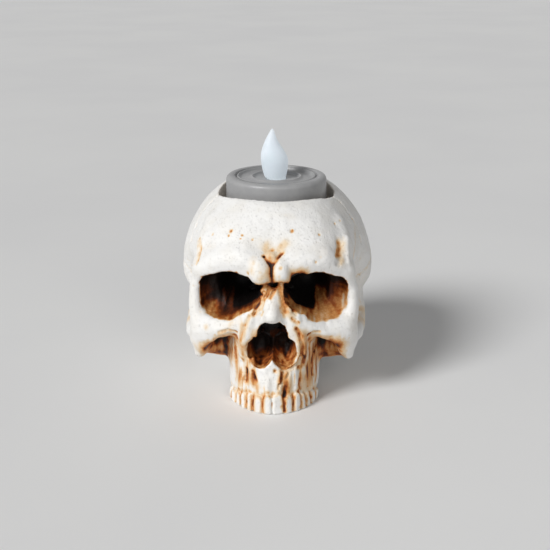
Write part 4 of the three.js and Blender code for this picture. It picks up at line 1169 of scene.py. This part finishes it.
# Colours of clean bone, of its pores, and of bone from the least brown wash to the most, whose near-black
# end is painted shade deep in the openings
BONE_CLEAN = (0.88, 0.87, 0.85), (0.85, 0.83, 0.79)
BONE_PORES = (0.67, 0.63, 0.58)
BONE_WASHED_AND_SHADED = [
    (0, (0.86, 0.83, 0.77)), (0.13, (0.8, 0.63, 0.43)), (0.27, (0.66, 0.32, 0.105)),
    (0.42, (0.38, 0.1, 0.018)), (0.58, (0.11, 0.025, 0.007)), (0.78, (0.02, 0.008, 0.005)),
    (1, (0.006, 0.004, 0.0035)),
]


def bone_resin():
    """Bone with pores, and the brown wash, painted shade and painted light that each of its points holds."""
    bone = new_material("bone_resin")
    broad, grain = bone.noise(150, 3), bone.noise(1300, 4)
    waver = bone.maths("MULTIPLY", bone.maths("SUBTRACT", grain, 0.5), 0.2)
    holes = bone.span(bone.noise(1500, 3), 0.6, 0.7)
    pores = bone.maths("MULTIPLY", holes, bone.span(broad, 0.42, 0.62, 0.06, 0.4))
    # The attribute holds the wash together with painted shade and painted light
    held = bone.add("Attribute", output="Fac", attribute_name="wash_and_shade")
    wash_and_shade = bone.maths("ADD", held, bone.maths("MULTIPLY", waver, bone.span(held, 0.02, 0.3)), clamp=True)
    clean = bone.mix(pores, bone.mix(bone.span(broad, 0.4, 0.7), *BONE_CLEAN), BONE_PORES)
    colour = bone.mix(bone.span(wash_and_shade, 0.02, 0.12), clean, bone.ramp(wash_and_shade, BONE_WASHED_AND_SHADED))
    relief = bone.maths("SUBTRACT", bone.maths("MULTIPLY", grain, 0.5), bone.maths("MULTIPLY", holes, 0.5))
    rough = bone.span(wash_and_shade, 0, 0.8, 0.6, 0.5)
    return bone.finish(colour, rough, relief, 0.8, 0.3 * MM, Specular_IOR_Level=0.25)


def grey_plastic():
    grey = new_material("grey_plastic")
    colour = grey.mix(grey.patches(240, 4), (0.31, 0.31, 0.315), (0.345, 0.345, 0.345))
    return grey.finish(colour, grey.patches(1400, 3, 0.34, 0.46), grey.noise(5200, 2), 0.2, 0.03 * MM)


def milky_plastic():
    milky = new_material("milky_plastic")
    colour = milky.mix(milky.patches(170, 3), (0.4, 0.45, 0.48), (0.44, 0.475, 0.51))
    # Its emission is a painted glow that evens the flame's shading; the diffuser is no lamp
    return milky.finish(colour, milky.patches(900, 3, 0.46, 0.6), milky.noise(420, 2), 0.15, 0.1 * MM,
                        Specular_IOR_Level=0.3, Subsurface_Weight=1, Subsurface_Radius=(1, 1, 1),
                        Subsurface_Scale=9 * MM, Emission_Color=(0.8, 0.88, 0.95, 1), Emission_Strength=0.36)


def clear_epoxy():
    clear = new_material("clear_epoxy")
    rough = clear.patches(700, 2, 0.05, 0.14)
    return clear.finish((0.93, 0.92, 0.84, 1), rough, Transmission_Weight=0.85, IOR=1.5)


def steel(name, colour, dull):
    metal = new_material(name)
    lines = metal.noise(900, 4, metal.add("Mapping", metal.place(), None, None, (1, 9, 9)))
    shade = metal.mix(metal.span(lines, 0.3, 0.7), tuple(0.86 * part for part in colour), colour)
    return metal.finish(shade, metal.span(lines, 0.3, 0.7, dull - 0.08, dull + 0.12), lines, 0.15, 0.02 * MM,
                        Metallic=1)


def black_plastic():
    black = new_material("black_plastic")
    grain = black.noise(2400, 3)
    colour = black.mix(black.span(grain, 0.35, 0.7), (0.026, 0.026, 0.028), (0.045, 0.045, 0.047))
    return black.finish(colour, black.span(grain, 0.3, 0.7, 0.38, 0.56), grain, 0.3, 0.04 * MM)


def dress(piece, body, material, replaced):
    """Gives a piece its material and its body, and lets it stand for a part of the model."""
    piece.data.materials.append(material)
    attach(piece, body)
    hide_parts(replaced)


grey = grey_plastic()
tinned = steel("tinned_steel", (0.66, 0.67, 0.68), 0.3)
dress(make_skull(), "holder", bone_resin(), "skull_body")
dress(make_cup(), "tealight", grey, "candle_shell")
dress(make_flame(), "tealight", milky_plastic(), "flame_diffuser")
finishes = {
    "base_plate": grey,
    "battery_door": grey,
    "led": clear_epoxy(),
    "coin_cell": steel("cell_steel", (0.72, 0.73, 0.74), 0.22),
    "switch_slider": black_plastic(),
}
for name in ("led_anode_lead", "led_cathode_lead", "positive_contact", "negative_contact", "switch_wiper"):
    finishes[name] = tinned
for name, material in finishes.items():
    for material_slot in nodes[name].material_slots:
        material_slot.material = material


# Stage: a pale floor, soft lamps and the photograph's camera
FLOOR_HALF = 8
BACKDROP_LEVEL = 0.64
LIGHT_LEVEL = 0.2
# Nearest that the camera sees, as a part of its distance
CLIP_PART = 40


def make_floor():
    mesh = bpy.data.meshes.new("floor")
    corners = [(across * FLOOR_HALF, along * FLOOR_HALF, 0)
               for across, along in ((-1, -1), (1, -1), (1, 1), (-1, 1))]
    mesh.from_pydata(corners, [], [(0, 1, 2, 3)])
    floor = linked("floor", mesh)
    pale = new_material("pale_floor")
    colour = pale.mix(pale.patches(6, 3), (0.8, 0.8, 0.8), (0.83, 0.83, 0.825))
    mesh.materials.append(pale.finish(colour, 0.8))


def add_lamp(name, kind, place, level, **settings):
    lamp = bpy.data.lights.new(name, kind)
    lamp.energy = level
    for key, value in settings.items():
        setattr(lamp, key, value)
    holder = linked(name, lamp)
    holder.location = place
    holder.rotation_mode = "QUATERNION"
    holder.rotation_quaternion = (Vector(place) - CAMERA_TARGET).to_track_quat("Z", "Y")


def light_world():
    """Even light from all round; the camera, mirror images and clear parts see a lighter backdrop instead."""
    studio = Nodes(bpy.data.worlds.new("studio"))
    bpy.context.scene.world = studio.owner
    path = studio.tree.nodes.new("ShaderNodeLightPath")
    seen = path.outputs["Is Camera Ray"]
    for kind in ("Is Glossy Ray", "Is Transmission Ray"):
        seen = studio.maths("MAXIMUM", seen, path.outputs[kind])
    level = studio.add("MapRange", seen, 0, 1, LIGHT_LEVEL, BACKDROP_LEVEL)
    studio.feed(studio.tree.nodes["Background"], Strength=level, Color=(1, 1, 1, 1))


def make_camera():
    camera = linked("camera", bpy.data.cameras.new("camera"))
    camera.location, turn = camera_axes()
    camera.rotation_mode = "QUATERNION"
    camera.rotation_quaternion = turn
    camera.data.sensor_width = SENSOR
    camera.data.lens = SENSOR * PIXELS_PER_MM * CAMERA_DISTANCE / MM / PHOTO_SIDE
    camera.data.clip_start = CAMERA_DISTANCE / CLIP_PART
    bpy.context.scene.camera = camera


make_floor()
add_lamp("key", "SUN", (-0.54, -0.56, 0.6), 2.48, angle=math.radians(20))
add_lamp("fill", "AREA", (0.25, -0.6, 0.42), 0.6, size=0.3)
light_world()
make_camera()
bpy.context.scene.view_settings.view_transform = "Standard"
